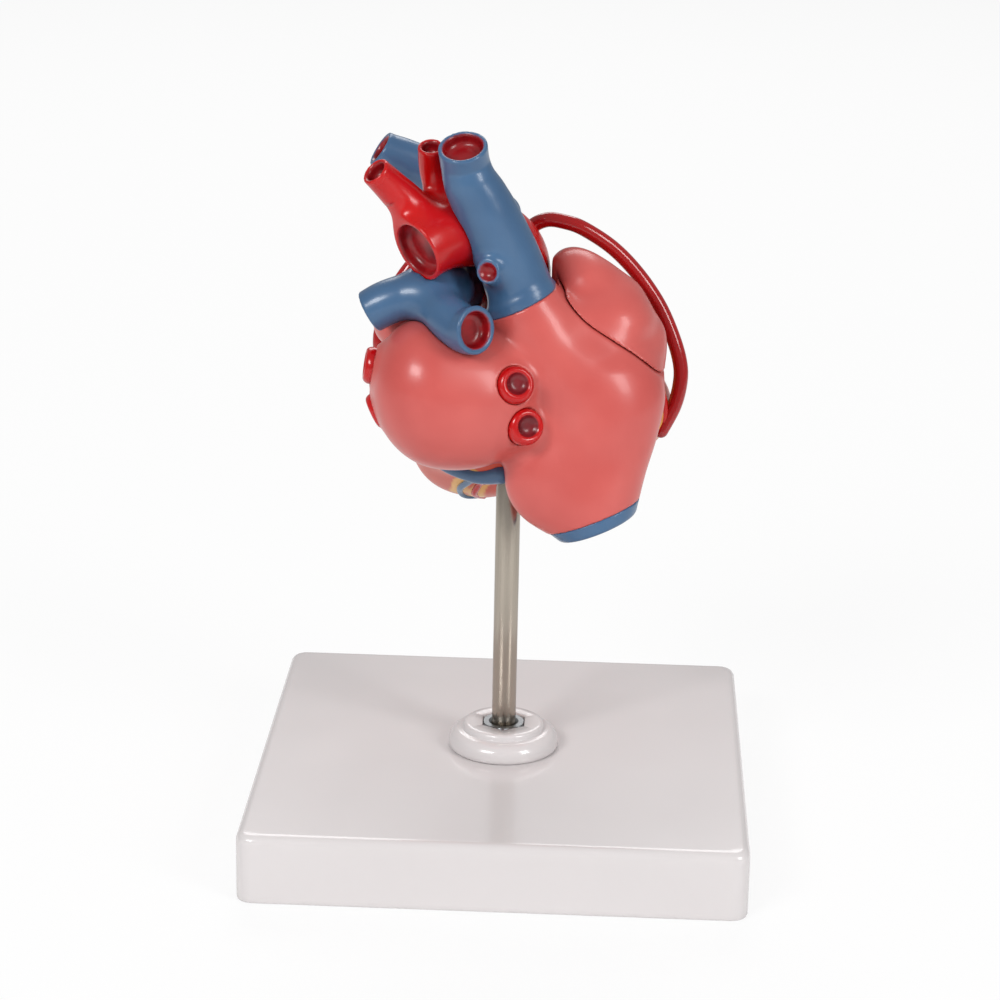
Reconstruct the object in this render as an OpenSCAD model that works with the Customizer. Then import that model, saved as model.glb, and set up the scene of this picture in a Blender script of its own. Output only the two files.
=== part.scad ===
// Classroom model of the human heart with three bypass tubes, on a rod stand.
// The rear half carries the atria and the great vessels. The front wall comes off
// along -Y and shows the chambers and the valves. +Z is up, the front of the heart
// faces -Y, the heart's own left is +X. Origin: centre of the base plate's underside.

/* [Stand] */
// Side of the square base plate
base_w = 120; // [100:1:160]
// Thickness of the base plate
base_h = 17; // [14:0.5:25]
// Radius of the plate's upright corners
base_corner_r = 4; // [3:0.5:10]
// Rounding of the plate's upper edges
base_edge_r = 2; // [1:0.25:3]
// Diameter of the pocket under the plate for the clamp nut
pocket_d = 16; // [14:0.5:17]
// Depth of the pocket under the plate
pocket_h = 8; // [7:0.5:10]
// Diameter of the collar's foot
collar_d = 27.4; // [24:0.2:36]
// Diameter of the collar's upper ring
collar_top_d = 20; // [17:0.5:22]
// Height of the collar
collar_h = 6.4; // [5.6:0.2:10]
// Diameter of the rod
rod_d = 6; // [5:0.5:7]
// Free length of the rod between the base plate and the heart
rod_free = 71; // [50:1:110]
// Depth of the rod in its socket
rod_grip = 14; // [10:0.5:15]

/* [Fasteners] */
// Width across the flats of the nuts
nut_flats = 10; // [9:0.5:11]
// Height of a nut
nut_h = 3.2; // [2.4:0.2:4]
// Diameter of the clamp washer
washer_d = 12; // [11:0.5:13]
// Thickness of the clamp washer
washer_h = 1.2; // [0.8:0.1:1.6]
// Outer diameter of the rod socket
socket_d = 8.4; // [8:0.2:9]
// Diameter of the front wall's locating pegs
peg_d = 3; // [2.5:0.25:3.5]
// Length of a locating peg
peg_l = 9; // [7:0.5:11]

/* [Heart] */
// Width of the heart across both atria
heart_w = 77; // [74:0.5:80]
// Wall of the atria
atrium_wall = 2.6; // [2:0.1:3.4]
// Wall of the vessels at their open ends
vessel_wall = 1.3; // [1:0.1:1.6]
// Depth of the recess in a vessel's open end
recess = 3; // [2:0.25:4]
// Diameter of the superior vena cava at its mouth
svc_d = 11.6; // [10.6:0.2:12.4]
// Diameter of the inferior vena cava
ivc_d = 21; // [19:0.5:22]
// Length of the inferior vena cava's end ring
ivc_ring_l = 2.4; // [1.6:0.2:3.2]
// Diameter of the left brachiocephalic vein
brachiocephalic_d = 10; // [9:0.2:10.6]
// Diameter of the azygos vein's stub
azygos_d = 5; // [4.4:0.2:5.6]
// Diameter of the aorta
aorta_d = 15.4; // [14:0.2:15.6]
// Diameter of the arteries that leave the aortic arch
branch_d = 6.4; // [5.8:0.2:7]
// Diameter of the pulmonary trunk
trunk_d = 13.4; // [12.4:0.2:14]
// Diameter of the pulmonary arteries
pulmonary_d = 10.6; // [9.8:0.2:11.4]
// Diameter of a pulmonary vein's ring
vein_d = 8.6; // [7.6:0.2:9.2]
// Height of a pulmonary vein's ring
vein_l = 6; // [5:0.25:7]
// Diameter of the coronary arteries
coronary_d = 2.4; // [2:0.1:2.8]
// Diameter of the coronary sinus
sinus_d = 4; // [3.4:0.2:4.4]
// Diameter of the bypass tubes
bypass_d = 3.8; // [3.4:0.2:4.4]

/* [Valves] */
// Diameter of the mitral valve's ring
mitral_d = 15; // [13:0.5:16]
// Diameter of the tricuspid valve's ring
tricuspid_d = 16; // [14:0.5:17]
// Thickness of a valve's leaflets
leaflet_t = 0.8; // [0.6:0.1:1.1]

/* [Fits] */
// Gap between pieces that are glued together
glue = 0.1; // [0.05:0.01:0.15]
// Gap between the front wall and the rear half
part_gap = 0.3; // [0.25:0.05:0.4]
// Running clearance on radius between the rod and what holds it
running = 0.05; // [0.03:0.01:0.08]

/* [Hidden] */

function unit(v) = v / norm(v);

heart_z = base_h + rod_free;
k = heart_w / 77;
blend = 14;
socket_lift = 3;
socket_cap = 2.5;
flats_to_corners = 2 / sqrt(3);
nut_d = nut_flats * flats_to_corners;
// The recess in a vessel's end narrows by this much on radius
bore_taper = 0.4;
// Sides of the aorta and of the pulmonary trunk, and their rings per station
great_sides = 18;
aorta_steps = 1;
trunk_steps = 2;
// Length of the ring that carries an artery's valve pockets
pocket_l = 2.4;
collar_bore_r = rod_d / 2 + running;

// Lobes of the soft bodies: [centre from the body's middle, half-widths]
atrium_l_mid = [16, 9, 23];
atrium_l_lobes = [
    [0, 0, 0, 17, 17, 17],
    [3.5, 1, 3, 15.5, 15.5, 15.5],
    [-7.5, 1.5, -1, 14.5, 13.5, 15]
];
heart_mid = [0, -22, 12];
heart_lobes = [
    [10, -4, -1, 22, 25, 18],
    [-12, 2, 1, 26, 22, 17],
    [3, -3, 10, 16, 16, 18],
    [14, -15, -13, 13, 15, 15],
    [2, 14, -2, 15, 16, 13.5]
];
auricle_r_mid = [-24.6, -9.5, 41];
auricle_r_lobes = [
    [0, 0, 0, 9.8, 10, 9.2],
    [6, 0, 5.6, 8.8, 8.8, 7.8],
    [-5.4, 0, -7, 8.4, 9.2, 9.2]
];
auricle_l_mid = [26, -8, 36];
auricle_l_lobes = [
    [0, 0, 0, 8, 11, 7],
    [-1, -5, 1, 6, 9, 5.5]
];
chamber_l_mid = [14, -27, 9];
chamber_l_lobes = [
    [0, 0, 0, 10.5, 16, 11.5],
    [2, -5, -7, 8, 9, 9],
    [-7, 11, 14, 6, 6, 9]
];
chamber_r_mid = [-17, -21, 12];
chamber_r_lobes = [
    [0, 0, 0, 14.5, 15, 11.5],
    [11, -6, 9, 8.5, 9, 12]
];

// Routes of the vessels: [x, y, z, share of the vessel's radius]
svc_route = [
    [-5.2, 4, 39.1, 1.4], [-2.8, 4, 44.4, 1.38], [-0.9, 4.4, 50.3, 1.35],
    [2.1, 5.4, 57.5, 1.34], [6.1, 7.5, 66.2, 1.28], [8, 8.4, 70.4, 1.19],
    [10, 9.2, 74.3, 1.09], [11.2, 9.5, 78.4, 1], [11.8, 12, 83.2, 1]
];
// Where the vena cava meets the right atrium, and how far that plane leans
cava_foot = [-3.4, 4, 45.2];
cava_lean = 27;
azygos_route = [[1, 5.4, 54, 1], [3.6, 10.5, 53.9, 1], [4.8, 14.5, 54.2, 1]];
atrium_r_route = [
    [-2.4, 4, 45.1, 8, 8], [-5.4, 3, 39.8, 10.4, 10], [-8.6, 1.5, 33.6, 12.6, 13],
    [-13.4, 0.5, 28.6, 15.4, 15], [-18.2, 0.5, 24, 17, 16], [-20.8, 2, 16, 16.7, 15.5],
    [-19.3, 5, 6.4, 17.5, 13.5], [-19.4, 8, -1.6, 15, 12], [-21.7, 10, -8.2, 10.6, 10.7]
];
brachiocephalic_route = [
    [3.4, -2.2, 64.4, 1], [11, -9, 68.1, 1], [17.3, -12, 71, 1], [22.7, -13, 73.2, 1],
    [27.6, -12.5, 75, 1], [30.8, -12, 76.2, 0.97], [32.9, -11.6, 77.6, 0.9]
];
aorta_route = [
    [1.5, -14, 33, 1], [-1, -15.5, 41, 1.04], [-1.6, -15, 49, 1.04],
    [0.8, -11, 55.4, 1], [5, -6, 58.4, 1], [10.2, 0.4, 60.3, 1], [15.6, 6.2, 60.6, 1],
    [19.4, 10, 59.7, 1], [22.2, 12.5, 58.3, 1.01]
];
subclavian_route = [
    [20.8, 5, 60.4, 1.45], [25, 7.5, 67, 1.32], [28.8, 9.8, 72.3, 1.2], [32, 12.4, 77, 1.04]
];
carotid_route = [
    [14.7, 0, 59.5, 1.3], [16.7, -1, 64.8, 1.1], [18.4, -0.6, 70.1, 1],
    [19.6, 0.6, 75.6, 0.95], [19.7, 3.2, 81.3, 0.98]
];
trunk_branch_route = [[3, -9, 57, 1.25], [7, -7, 66, 1.15], [10.4, -4, 73, 1.1], [12.4, -2, 77.4, 1.1]];
trunk_route = [
    [4, -29.5, 32, 1], [7.5, -27.5, 40, 1.02], [12.4, -18, 46.4, 0.98],
    [16.6, -6, 47.6, 0.92], [18, 4, 46.6, 0.85]
];
pulmonary_l_route = [
    [14, 2, 46.6, 0.9], [20.5, 6.5, 47.2, 1], [26.3, 7.6, 45.7, 1], [30.1, 8, 44.2, 1],
    [33.6, 8, 42.1, 0.98]
];
pulmonary_r_route = [[19.4, 5, 46.4, 0.9], [15, 14.4, 43.8, 1], [10.3, 19.2, 41.6, 1.04], [7.4, 22.2, 42.2, 1.08]];

// Pulmonary veins: [centre of the mouth, direction that the mouth faces]
vein_rs = [[-2.2, 21, 29], [-0.25, 0.93, 0.3]];
vein_ri = [[-5, 20, 18.3], [-0.4, 0.9, 0.15]];
vein_ls = [[33.9, 9, 29.9], [0.97, 0.1, 0.2]];
vein_li = [[31.9, 9, 17.8], [0.92, 0.1, -0.35]];

// Direction of the line of the two great veins, downwards
caval = unit([-21.5, 6, -50]);

// Routes on the heart's surface: directions seen from its middle
sinus_dirs = [[27, 13, 6], [17, 19, -8], [8, 24, -12], [1, 26, -9]];
posterior_dirs = [[6, 18, -16], [9, 8, -20], [12, -6, -22], [14, -18, -19]];
right_coronary_dirs = [[-8, -3, 24], [-16, 1, 21], [-26, 5, 12], [-29.6, 7.2, 5], [-31, 8, -1.5]];
anterior_dirs = [[13, -14, 17], [14, -20, 12], [15, -27, 3], [14, -32, -7], [10, -34, -15]];
circumflex_dirs = [[15, -12, 17], [24, -9, 13], [29, -6, 8], [30, -6, 2]];
vein_dirs = [[19, -12, 17], [19, -19, 11], [20, -26, 2], [19, -30, -8]];

bypass_right_route = [
    [-4, -18, 51.5], [-6.8, -21.4, 57.2], [-9, -19.5, 59.6], [-12.5, -19, 59.2],
    [-16.8, -19.5, 57.4], [-23.6, -20, 52.8], [-29.9, -20, 46.5], [-35.3, -19, 39.1],
    [-39, -18, 31.4], [-41, -17, 25.1], [-41.2, -16, 20.3], [-40, -14.6, 14.6], skin_point([-31, 8, -4.4])
];
bypass_anterior_route = [
    [-2.8, -20.5, 49], [-4, -31, 50.6], [-2, -40, 47.6], [4, -46.4, 40],
    [9, -50.6, 30], [12, -52, 22], skin_point([14, -27, 3])
];
bypass_circumflex_route = [
    [1.2, -16.5, 53.4], [4.4, -29, 58], [13, -35, 56], [22, -34, 49],
    [29.4, -31.4, 40], [33.4, -29.6, 30], [34, -28.6, 23], skin_point([30, -6.3, 1.2])
];

// The right atrium is solid in front of this y and below this z
atrium_front_y = -2.5;
atrium_floor_z = -2;

// Parting of the front wall: a step at step_x, and for each side the y of its edge
step_x = -9;
ledge_z = 28;
crack_y = -6;
ledge_y = -14;
part_low = [-52, -14];
far = 110;
part_right = [[crack_y, far], [crack_y, 5], part_low, [-far, part_low.y], [-far, far]];
part_left = [[ledge_y, ledge_z], part_low, [-far, part_low.y], [-far, ledge_z]];
pegs = [[0.5, 2], [0.5, 16], [27, 14]];

mitral = [[13, -9.5, 15], [0.05, -0.86, -0.5], mitral_d];
tricuspid = [[-17, -4.6, 12], [0.02, -0.98, -0.18], tricuspid_d];
mitral_depth = 7;
tricuspid_depth = 6.5;
valve_room = 9;

function xyz(s) = [s.x, s.y, s.z];
function bend(a, b, c, d, t) = (2 * b + (c - a) * t + (2 * a - 5 * b + 4 * c - d) * t * t
    + (3 * b - a - 3 * c + d) * t * t * t) / 2;
// A smooth run through the stations of a route, n steps between two stations
function smooth(route, n) = let (m = len(route) - 1) concat(
    [for (i = [0:m - 1], j = [0:n - 1])
        bend(route[max(i - 1, 0)], route[i], route[i + 1], route[min(i + 2, m)], j / n)],
    [route[m]]);
function heading(run, i) =
    unit(xyz(run[min(i + 1, len(run) - 1)]) - xyz(run[max(i - 1, 0)]));
// Heart coordinates in the frame of the stand
function seat(p) = [k * p.x, k * p.y, heart_z + k * p.z];
function seated(route, r) = [for (s = route) concat(seat(s), [r * s[3]])];
function ring(mid, dir, a, b, side, n) =
    let (e = unit(cross(side, dir)), f = cross(dir, e))
    [for (i = [0:n - 1]) mid + a * cos(360 * i / n) * e + b * sin(360 * i / n) * f];

// How far a lobe reaches along the direction u from the body's middle
function lobe_reach(u, l) = let (
        q = [u.x / l[3], u.y / l[4], u.z / l[5]],
        c = [l[0] / l[3], l[1] / l[4], l[2] / l[5]],
        d = (q * c) * (q * c) - (q * q) * (c * c - 1))
    d < 0 ? 0 : max(0, (q * c + sqrt(d)) / (q * q));
function reach(u, lobes) =
    pow([for (l = lobes) pow(lobe_reach(u, l), blend)] * [for (l = lobes) 1], 1 / blend);
function skin_point(d, lift = 0) = let (u = unit(d)) heart_mid + u * (reach(u, heart_lobes) + lift);
function on_skin(dirs, n, lift) = [for (d = smooth(dirs, n)) seat(skin_point(d, lift))];

// A closed skin over rings of points
module skin(rings) {
    n = len(rings[0]);
    m = len(rings);
    polyhedron([for (r = rings) each r], concat(
        [[for (i = [0:n - 1]) i]],
        [for (j = [0:m - 2], i = [0:n - 1]) let (a = j * n + i, b = j * n + (i + 1) % n)
            each [[a, a + n, b], [b, a + n, b + n]]],
        [[for (i = [0:n - 1]) m * n - 1 - i]]), convexity = 8);
}

// A rounded body of several lobes, grown by g
module lobed(mid, lobes, g = 0, rows = 12, cols = 20) {
    skin([for (j = [0:rows - 1]) let (a = 180 * (1 - (j + 0.5) / rows))
        [for (i = [0:cols - 1]) let (b = 360 * i / cols,
                u = [sin(a) * cos(b), sin(a) * sin(b), cos(a)])
            seat(mid) + u * (k * reach(u, lobes) + g)]]);
}

// A vessel along a route of [x, y, z, radius], grown by g, with a recess at its ends
module vessel(route, steps = 2, sides = 16, g = 0, start_recess = 0, end_recess = 0,
        wall = vessel_wall) {
    run = smooth(route, steps);
    m = len(run) - 1;
    side = [0.31, 0.42, -0.85];
    d0 = heading(run, 0);
    d1 = heading(run, m);
    bore0 = run[0][3] - wall;
    bore1 = run[m][3] - wall;
    floor0 = bore0 - bore_taper;
    floor1 = bore1 - bore_taper;
    skin(concat(
        start_recess > 0 ? [
            ring(xyz(run[0]) + d0 * start_recess, d0, floor0, floor0, side, sides),
            ring(xyz(run[0]), d0, bore0, bore0, side, sides)] : [],
        [for (i = [0:m]) ring(xyz(run[i]), heading(run, i), run[i][3] + g, run[i][3] + g, side, sides)],
        end_recess > 0 ? [
            ring(xyz(run[m]), d1, bore1, bore1, side, sides),
            ring(xyz(run[m]) - d1 * end_recess, d1, floor1, floor1, side, sides)] : []));
}

// A thin cord along points, for the arteries, the veins and the bypass tubes
module cord(points, r, steps = 1, sides = 8) {
    vessel([for (p = points) [p.x, p.y, p.z, r]], steps, sides);
}

// A casting: its pieces are joined into one skin
module cast() resize([0, 0, 0]) children();

module aim(place) {
    d = unit(place[1]);
    translate(seat(place[0])) rotate([0, acos(d.z), atan2(d.y, d.x)]) children();
}

// ---- Stand ----
module base_plate() color("white") difference() {
    c = base_w / 2 - base_corner_r;
    hull() for (x = [-c, c], y = [-c, c]) translate([x, y, 0]) corner_post();
    translate([0, 0, -1]) cylinder(h = base_h + 2, r = collar_bore_r, $fn = 48);
    translate([0, 0, -1]) cylinder(h = pocket_h + 1, d = pocket_d, $fn = 48);
}

// One upright corner of the base plate with its rounded upper edge
module corner_post() rotate_extrude($fn = 24) {
    square([base_corner_r, base_h - base_edge_r]);
    square([base_corner_r - base_edge_r, base_h]);
    translate([base_corner_r - base_edge_r, base_h - base_edge_r]) intersection() {
        circle(r = base_edge_r, $fn = 16);
        square(base_edge_r);
    }
}

module rod_collar() color("white") translate([0, 0, base_h]) difference() {
    foot = collar_d / 2;
    top = collar_top_d / 2;
    ring_h = collar_h - 1.6;
    rotate_extrude($fn = 96) polygon(concat(
        [[0, 0], [foot - 0.6, 0], [foot, 0.6], [foot, 1.4]],
        [for (a = [15:15:75]) [top + 0.6 + (foot - top - 0.6) * cos(a), 1.4 + (ring_h - 1.4) * sin(a)]],
        [[top, ring_h], [top, collar_h - 0.5], [top - 0.5, collar_h], [0, collar_h]]));
    translate([0, 0, -1]) cylinder(h = collar_h + 2, r = collar_bore_r, $fn = 48);
    translate([0, 0, collar_h - nut_h]) cylinder(h = nut_h + 1, d = nut_d + 0.4, $fn = 6);
}

// A hexagon nut standing on z = 0
module nut() difference() {
    intersection() {
        cylinder(h = nut_h, d = nut_d, $fn = 6);
        translate([0, 0, nut_h / 2]) sphere(d = nut_d * 1.06, $fn = 60);
    }
    translate([0, 0, -1]) cylinder(h = nut_h + 2, r = collar_bore_r, $fn = 48);
}

module lock_nut() color("lightgrey") translate([0, 0, base_h + collar_h - nut_h]) nut();

module clamp_washer() color("silver") translate([0, 0, pocket_h - washer_h]) difference() {
    cylinder(h = washer_h, d = washer_d, $fn = 48);
    translate([0, 0, -1]) cylinder(h = washer_h + 2, r = collar_bore_r, $fn = 48);
}

module clamp_nut() color("silver") translate([0, 0, pocket_h - washer_h - nut_h]) nut();

module rod() color("silver") {
    foot = pocket_h - washer_h - nut_h - 1;
    tip = heart_z + rod_grip;
    translate([0, 0, foot]) cylinder(h = tip - 1 - foot, d = rod_d, $fn = 48);
    translate([0, 0, tip - 1]) cylinder(h = 1, d1 = rod_d, d2 = rod_d - 1.6, $fn = 48);
}

socket_foot = heart_z + socket_lift;
socket_h = rod_grip - socket_lift + socket_cap;

module rod_socket() color("silver") translate([0, 0, socket_foot]) difference() {
    cylinder(h = socket_h, d = socket_d, $fn = 48);
    translate([0, 0, -1]) cylinder(h = rod_grip - socket_lift + part_gap + 1, r = collar_bore_r, $fn = 48);
}

// The socket's seat in the casting, and the hole for the rod below it
module socket_seat() {
    translate([0, 0, socket_foot - glue])
        cylinder(h = socket_h + 2 * glue, d = socket_d + 2 * glue, $fn = 24);
    translate([0, 0, heart_z - 20]) cylinder(h = 20 + socket_lift, d = rod_d + 2 * part_gap, $fn = 24);
}

// ---- Soft bodies ----
module atrium_l_body(g = 0) lobed(atrium_l_mid, atrium_l_lobes, g);
module heart_body(g = 0) lobed(heart_mid, heart_lobes, g, 14, 24);
module auricle_r_body(g = 0) lobed(auricle_r_mid, auricle_r_lobes, g, 10, 18);
module chamber_l(g = 0) lobed(chamber_l_mid, chamber_l_lobes, g, 9, 16);
module chamber_r(g = 0) lobed(chamber_r_mid, chamber_r_lobes, g, 9, 16);

// The right atrium is a funnel of ellipses along the line of the two great veins
module atrium_r_body(g = 0) {
    run = smooth(atrium_r_route, 2);
    skin([for (i = [0:len(run) - 1])
        ring(seat(run[i]), caval, k * run[i][3] + g, k * run[i][4] + g, [0, 1, 0], 20)]);
}

module yz_prism(points, x0, x1, g)
    translate([x0, 0, heart_z]) rotate([90, 0, 90]) linear_extrude(x1 - x0)
        offset(delta = g) polygon(k * points);

// The space in front of the parting, grown by g
module front_side(g = 0) {
    yz_prism(part_right, -far, k * step_x + g, g);
    yz_prism(part_left, -far, far, g);
}

module svc_body(g = 0) vessel(seated(svc_route, svc_d / 2), 1, 18, g, 0, g > 0 ? 0 : recess);
module azygos_body(g = 0) vessel(seated(azygos_route, azygos_d / 2), 2, 14, g, 0, g > 0 ? 0 : recess / 2);
module aorta_trunk(g = 0)
    vessel(seated(aorta_route, aorta_d / 2), aorta_steps, great_sides, g,
        g > 0 ? 0 : 2 * recess, g > 0 ? 0 : recess);
module aorta_body(g = 0) {
    aorta_trunk(g);
    for (r = [subclavian_route, carotid_route, trunk_branch_route])
        vessel(seated(r, branch_d / 2), 2, 12, g, 0, g > 0 ? 0 : recess);
}
module pulmonary_body(g = 0) {
    vessel(seated(trunk_route, trunk_d / 2), trunk_steps, great_sides, g, g > 0 ? 0 : 2 * recess, 0);
    for (r = [pulmonary_l_route, pulmonary_r_route])
        vessel(seated(r, pulmonary_d / 2), 2, 16, g, 0, g > 0 ? 0 : recess);
}
module brachiocephalic_body(g = 0)
    vessel(seated(brachiocephalic_route, brachiocephalic_d / 2), 1, 14, g, 0, g > 0 ? 0 : recess);

module superior_vena_cava() color("steelblue") cast() difference() {
    union() {
        svc_body();
        azygos_body();
    }
    cava_split(0);
    aorta_body(glue);
}

// Everything under the line where the vena cava meets the atrium, lowered by g
module cava_split(g) translate(seat(cava_foot)) rotate([0, cava_lean, 0])
    translate([-far, -far, -2 * far - g]) cube(2 * far);

module right_atrium() color("indianred") cast() difference() {
    intersection() {
        union() {
            atrium_r_body();
            svc_body(0);
        }
        cava_split(glue);
    }
    difference() {
        atrium_r_body(-atrium_wall);
        translate(seat([-far, atrium_front_y - far, -far])) cube(2 * far * [1, 0.5, 1]);
        translate(seat([-far, -far, atrium_floor_z - 2 * far])) cube(2 * far);
    }
    front_side(part_gap);
    auricle_r_body(part_gap);
    tricuspid_seat(glue);
    aorta_body(glue);
    for (v = [vein_rs, vein_ri]) vein_ring(v, glue);
    socket_seat();
    ivc_cut(glue);
}

// The round passage in which a valve sits, open on both sides of it
module valve_seat(valve, g) aim(valve) translate([0, 0, -valve_room])
    cylinder(h = 2 * valve_room, d = valve[2] + 2 * g, $fn = 24);
module mitral_seat() valve_seat(mitral, glue);
module tricuspid_seat(g) valve_seat(tricuspid, g);

// The end ring of the vena cava, at the lower end of the right atrium
ivc_end = atrium_r_route[len(atrium_r_route) - 1];
module ivc_cut(g) skin([for (s = [-ivc_ring_l - g, 12])
    ring(seat(ivc_end) + s * caval, caval, ivc_d, ivc_d, [0, 1, 0], 24)]);

module inferior_vena_cava() color("steelblue") {
    r = ivc_d / 2;
    cast() skin([
        for (s = [[-ivc_ring_l, r + 0.1], [-0.6, r], [0, r - 0.5], [0, r - vessel_wall - 0.3],
                [-ivc_ring_l + 0.6, r - vessel_wall - 0.6]])
            ring(seat(ivc_end) + s[0] * caval, caval, s[1], s[1], [0, 1, 0], 28)]);
}

module left_brachiocephalic_vein() color("steelblue") cast() difference() {
    brachiocephalic_body();
    svc_body(glue);
    aorta_body(glue);
}

module aorta() color("firebrick") cast() aorta_body();

module pulmonary_arteries() color("steelblue") cast() difference() {
    pulmonary_body();
    aorta_body(glue);
}

module vein_ring(v, g = 0) {
    d = unit(v[1]);
    r = vein_d / 2;
    skin(concat(
        [ring(seat(v[0]) - d * (vein_l + g), d, r + g, r + g, [0, 0, 1], 18),
            ring(seat(v[0]) - d * 0.8, d, r + g, r + g, [0, 0, 1], 18),
            ring(seat(v[0]), d, r - 0.7 + g, r - 0.7 + g, [0, 0, 1], 18)],
        g > 0 ? [] : [ring(seat(v[0]), d, r - vessel_wall, r - vessel_wall, [0, 0, 1], 18),
            ring(seat(v[0]) - d * recess, d, r - vessel_wall - bore_taper, r - vessel_wall - bore_taper,
                [0, 0, 1], 18)]));
}

module vein_piece(v) color("crimson") cast() vein_ring(v);
module right_superior_vein() vein_piece(vein_rs);
module right_inferior_vein() vein_piece(vein_ri);
module left_superior_vein() vein_piece(vein_ls);
module left_inferior_vein() vein_piece(vein_li);

module left_atrium() color("indianred") cast() difference() {
    atrium_l_body();
    difference() {
        atrium_l_body(-atrium_wall);
        translate([0, 0, socket_foot]) cylinder(h = socket_h + 3, d = socket_d + 4, $fn = 16);
    }
    atrium_r_body(glue);
    aorta_body(glue);
    pulmonary_body(glue);
    for (v = [vein_rs, vein_ri, vein_ls, vein_li]) vein_ring(v, glue);
    mitral_seat();
    socket_seat();
    cord(on_skin(sinus_dirs, 3, 0), sinus_d / 2 + glue);
}

module left_auricle() color("indianred") cast() difference() {
    lobed(auricle_l_mid, auricle_l_lobes, 0, 9, 16);
    atrium_l_body(glue);
    heart_body(glue);
    pulmonary_body(glue);
}

module ventricles_rear() color("tomato") cast() difference() {
    heart_body();
    front_side(part_gap);
    chamber_l();
    chamber_r();
    atrium_l_body(glue);
    atrium_r_body(glue);
    aorta_body(glue);
    pulmonary_body(glue);
    mitral_seat();
    tricuspid_seat(glue);
    socket_seat();
    peg_holes(part_gap);
    cord(on_skin(sinus_dirs, 3, 0), sinus_d / 2 + glue);
    cord(on_skin(posterior_dirs, 3, 0), coronary_d / 2 + glue);
}

module coronary_sinus() color("steelblue") cast() difference() {
    cord(on_skin(sinus_dirs, 3, 0), sinus_d / 2);
    socket_seat();
    atrium_r_body(glue);
}

module posterior_artery() color("crimson") cast() difference() {
    cord(on_skin(posterior_dirs, 3, 0), coronary_d / 2);
    socket_seat();
    cord(on_skin(sinus_dirs, 3, 0), sinus_d / 2 + glue);
}

// ---- Valves ----
// A funnel of n leaflets below a ring
module leaflet_valve(place, n, depth) aim(place) difference() {
    r = place[2] / 2;
    rotate_extrude($fn = 48) polygon([
        [r - 1.8, 0], [r, 0], [r, 1.6], [r - 1, 1.6], [r * 0.5 + leaflet_t, depth],
        [r * 0.5, depth], [r - 1.8, 1.2]]);
    for (i = [0:n - 1]) rotate([0, 0, 360 * i / n])
        translate([0, -0.3, 2.4]) cube([r, 0.6, depth]);
}

// Three pockets inside a ring, in the bore at the start of an artery of diameter d
module pocket_valve(route, d, steps) {
    run = smooth(seated(route, d / 2), steps);
    r = (run[0][3] - vessel_wall - bore_taper) * cos(180 / great_sides) - glue;
    along = heading(run, 0);
    translate(xyz(run[0]) + (2 * recess - pocket_l - 2 * glue) * along)
        rotate([0, acos(along.z), atan2(along.y, along.x)]) pockets(r);
}

module pockets(r) {
    rim = pocket_l - 2 * glue;
    difference() {
        cylinder(h = pocket_l, r = r, $fn = 48);
        translate([0, 0, -1]) cylinder(h = pocket_l + 2, r = r - leaflet_t, $fn = 48);
    }
    for (i = [0:2]) rotate([0, 0, 120 * i]) intersection() {
        difference() {
            translate([r * 0.55, 0, rim]) sphere(r = r * 0.46, $fn = 36);
            translate([r * 0.55, 0, rim]) sphere(r = r * 0.46 - leaflet_t, $fn = 36);
        }
        cylinder(h = rim, r = r - leaflet_t / 2, $fn = 48);
    }
}

module mitral_valve() color("wheat") leaflet_valve(mitral, 2, mitral_depth);
module tricuspid_valve() color("wheat") leaflet_valve(tricuspid, 3, tricuspid_depth);
module aortic_valve() color("wheat") pocket_valve(aorta_route, aorta_d, aorta_steps);
module pulmonary_valve() color("wheat") pocket_valve(trunk_route, trunk_d, trunk_steps);

// Fingers of muscle on the floor of the chambers: [foot, tip]
fingers_l = [[[9, -30, -10], [11, -22, 6]], [[20, -28, -10], [16, -21, 7]]];
fingers_r = [[[-24, -24, -6], [-20, -16, 4]], [[-15, -25, -6], [-15, -17, 4]]];

module fingers(list) for (f = list)
    skin([for (s = [0:0.2:1]) ring(seat(f[0] + s * (f[1] - f[0])), unit(f[1] - f[0]),
        2.6 - 1.6 * s, 2.6 - 1.6 * s, [1, 0, 0.2], 12)]);

module left_papillary_muscles() color("coral") cast() intersection() {
    fingers(fingers_l);
    chamber_l(-glue);
}

module right_papillary_muscles() color("coral") cast() intersection() {
    fingers(fingers_r);
    chamber_r(-glue);
}

// ---- Front wall ----
module front_wall() color("tomato") cast() difference() {
    intersection() {
        heart_body();
        front_side(0);
    }
    chamber_l();
    chamber_r();
    aorta_body(part_gap);
    pulmonary_body(part_gap);
    tricuspid_seat(part_gap);
    peg_holes(glue);
    cord(on_skin(right_coronary_dirs, 3, 0), coronary_d / 2 + glue);
    cord(on_skin(anterior_dirs, 3, 0), coronary_d / 2 + glue);
    cord(on_skin(circumflex_dirs, 3, 0), coronary_d / 2 + glue);
    cord(on_skin(vein_dirs, 3, 0), coronary_d / 2 + glue);
    for (r = [bypass_right_route, bypass_anterior_route, bypass_circumflex_route]) bypass(r, glue);
}

// The auricle, with the front of the right atrium that comes off with it
module right_auricle() color("indianred") cast() difference() {
    union() {
        auricle_r_body();
        intersection() {
            atrium_r_body();
            front_side(0);
        }
    }
    heart_body(glue);
    aorta_body(part_gap);
    svc_body(part_gap);
    bypass(bypass_right_route, glue);
    cord(on_skin(right_coronary_dirs, 3, 0), coronary_d / 2 + glue);
}

module surface_vessel(dirs, d) cast() intersection() {
    cord(on_skin(dirs, 3, 0), d / 2);
    front_side(0);
}

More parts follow.
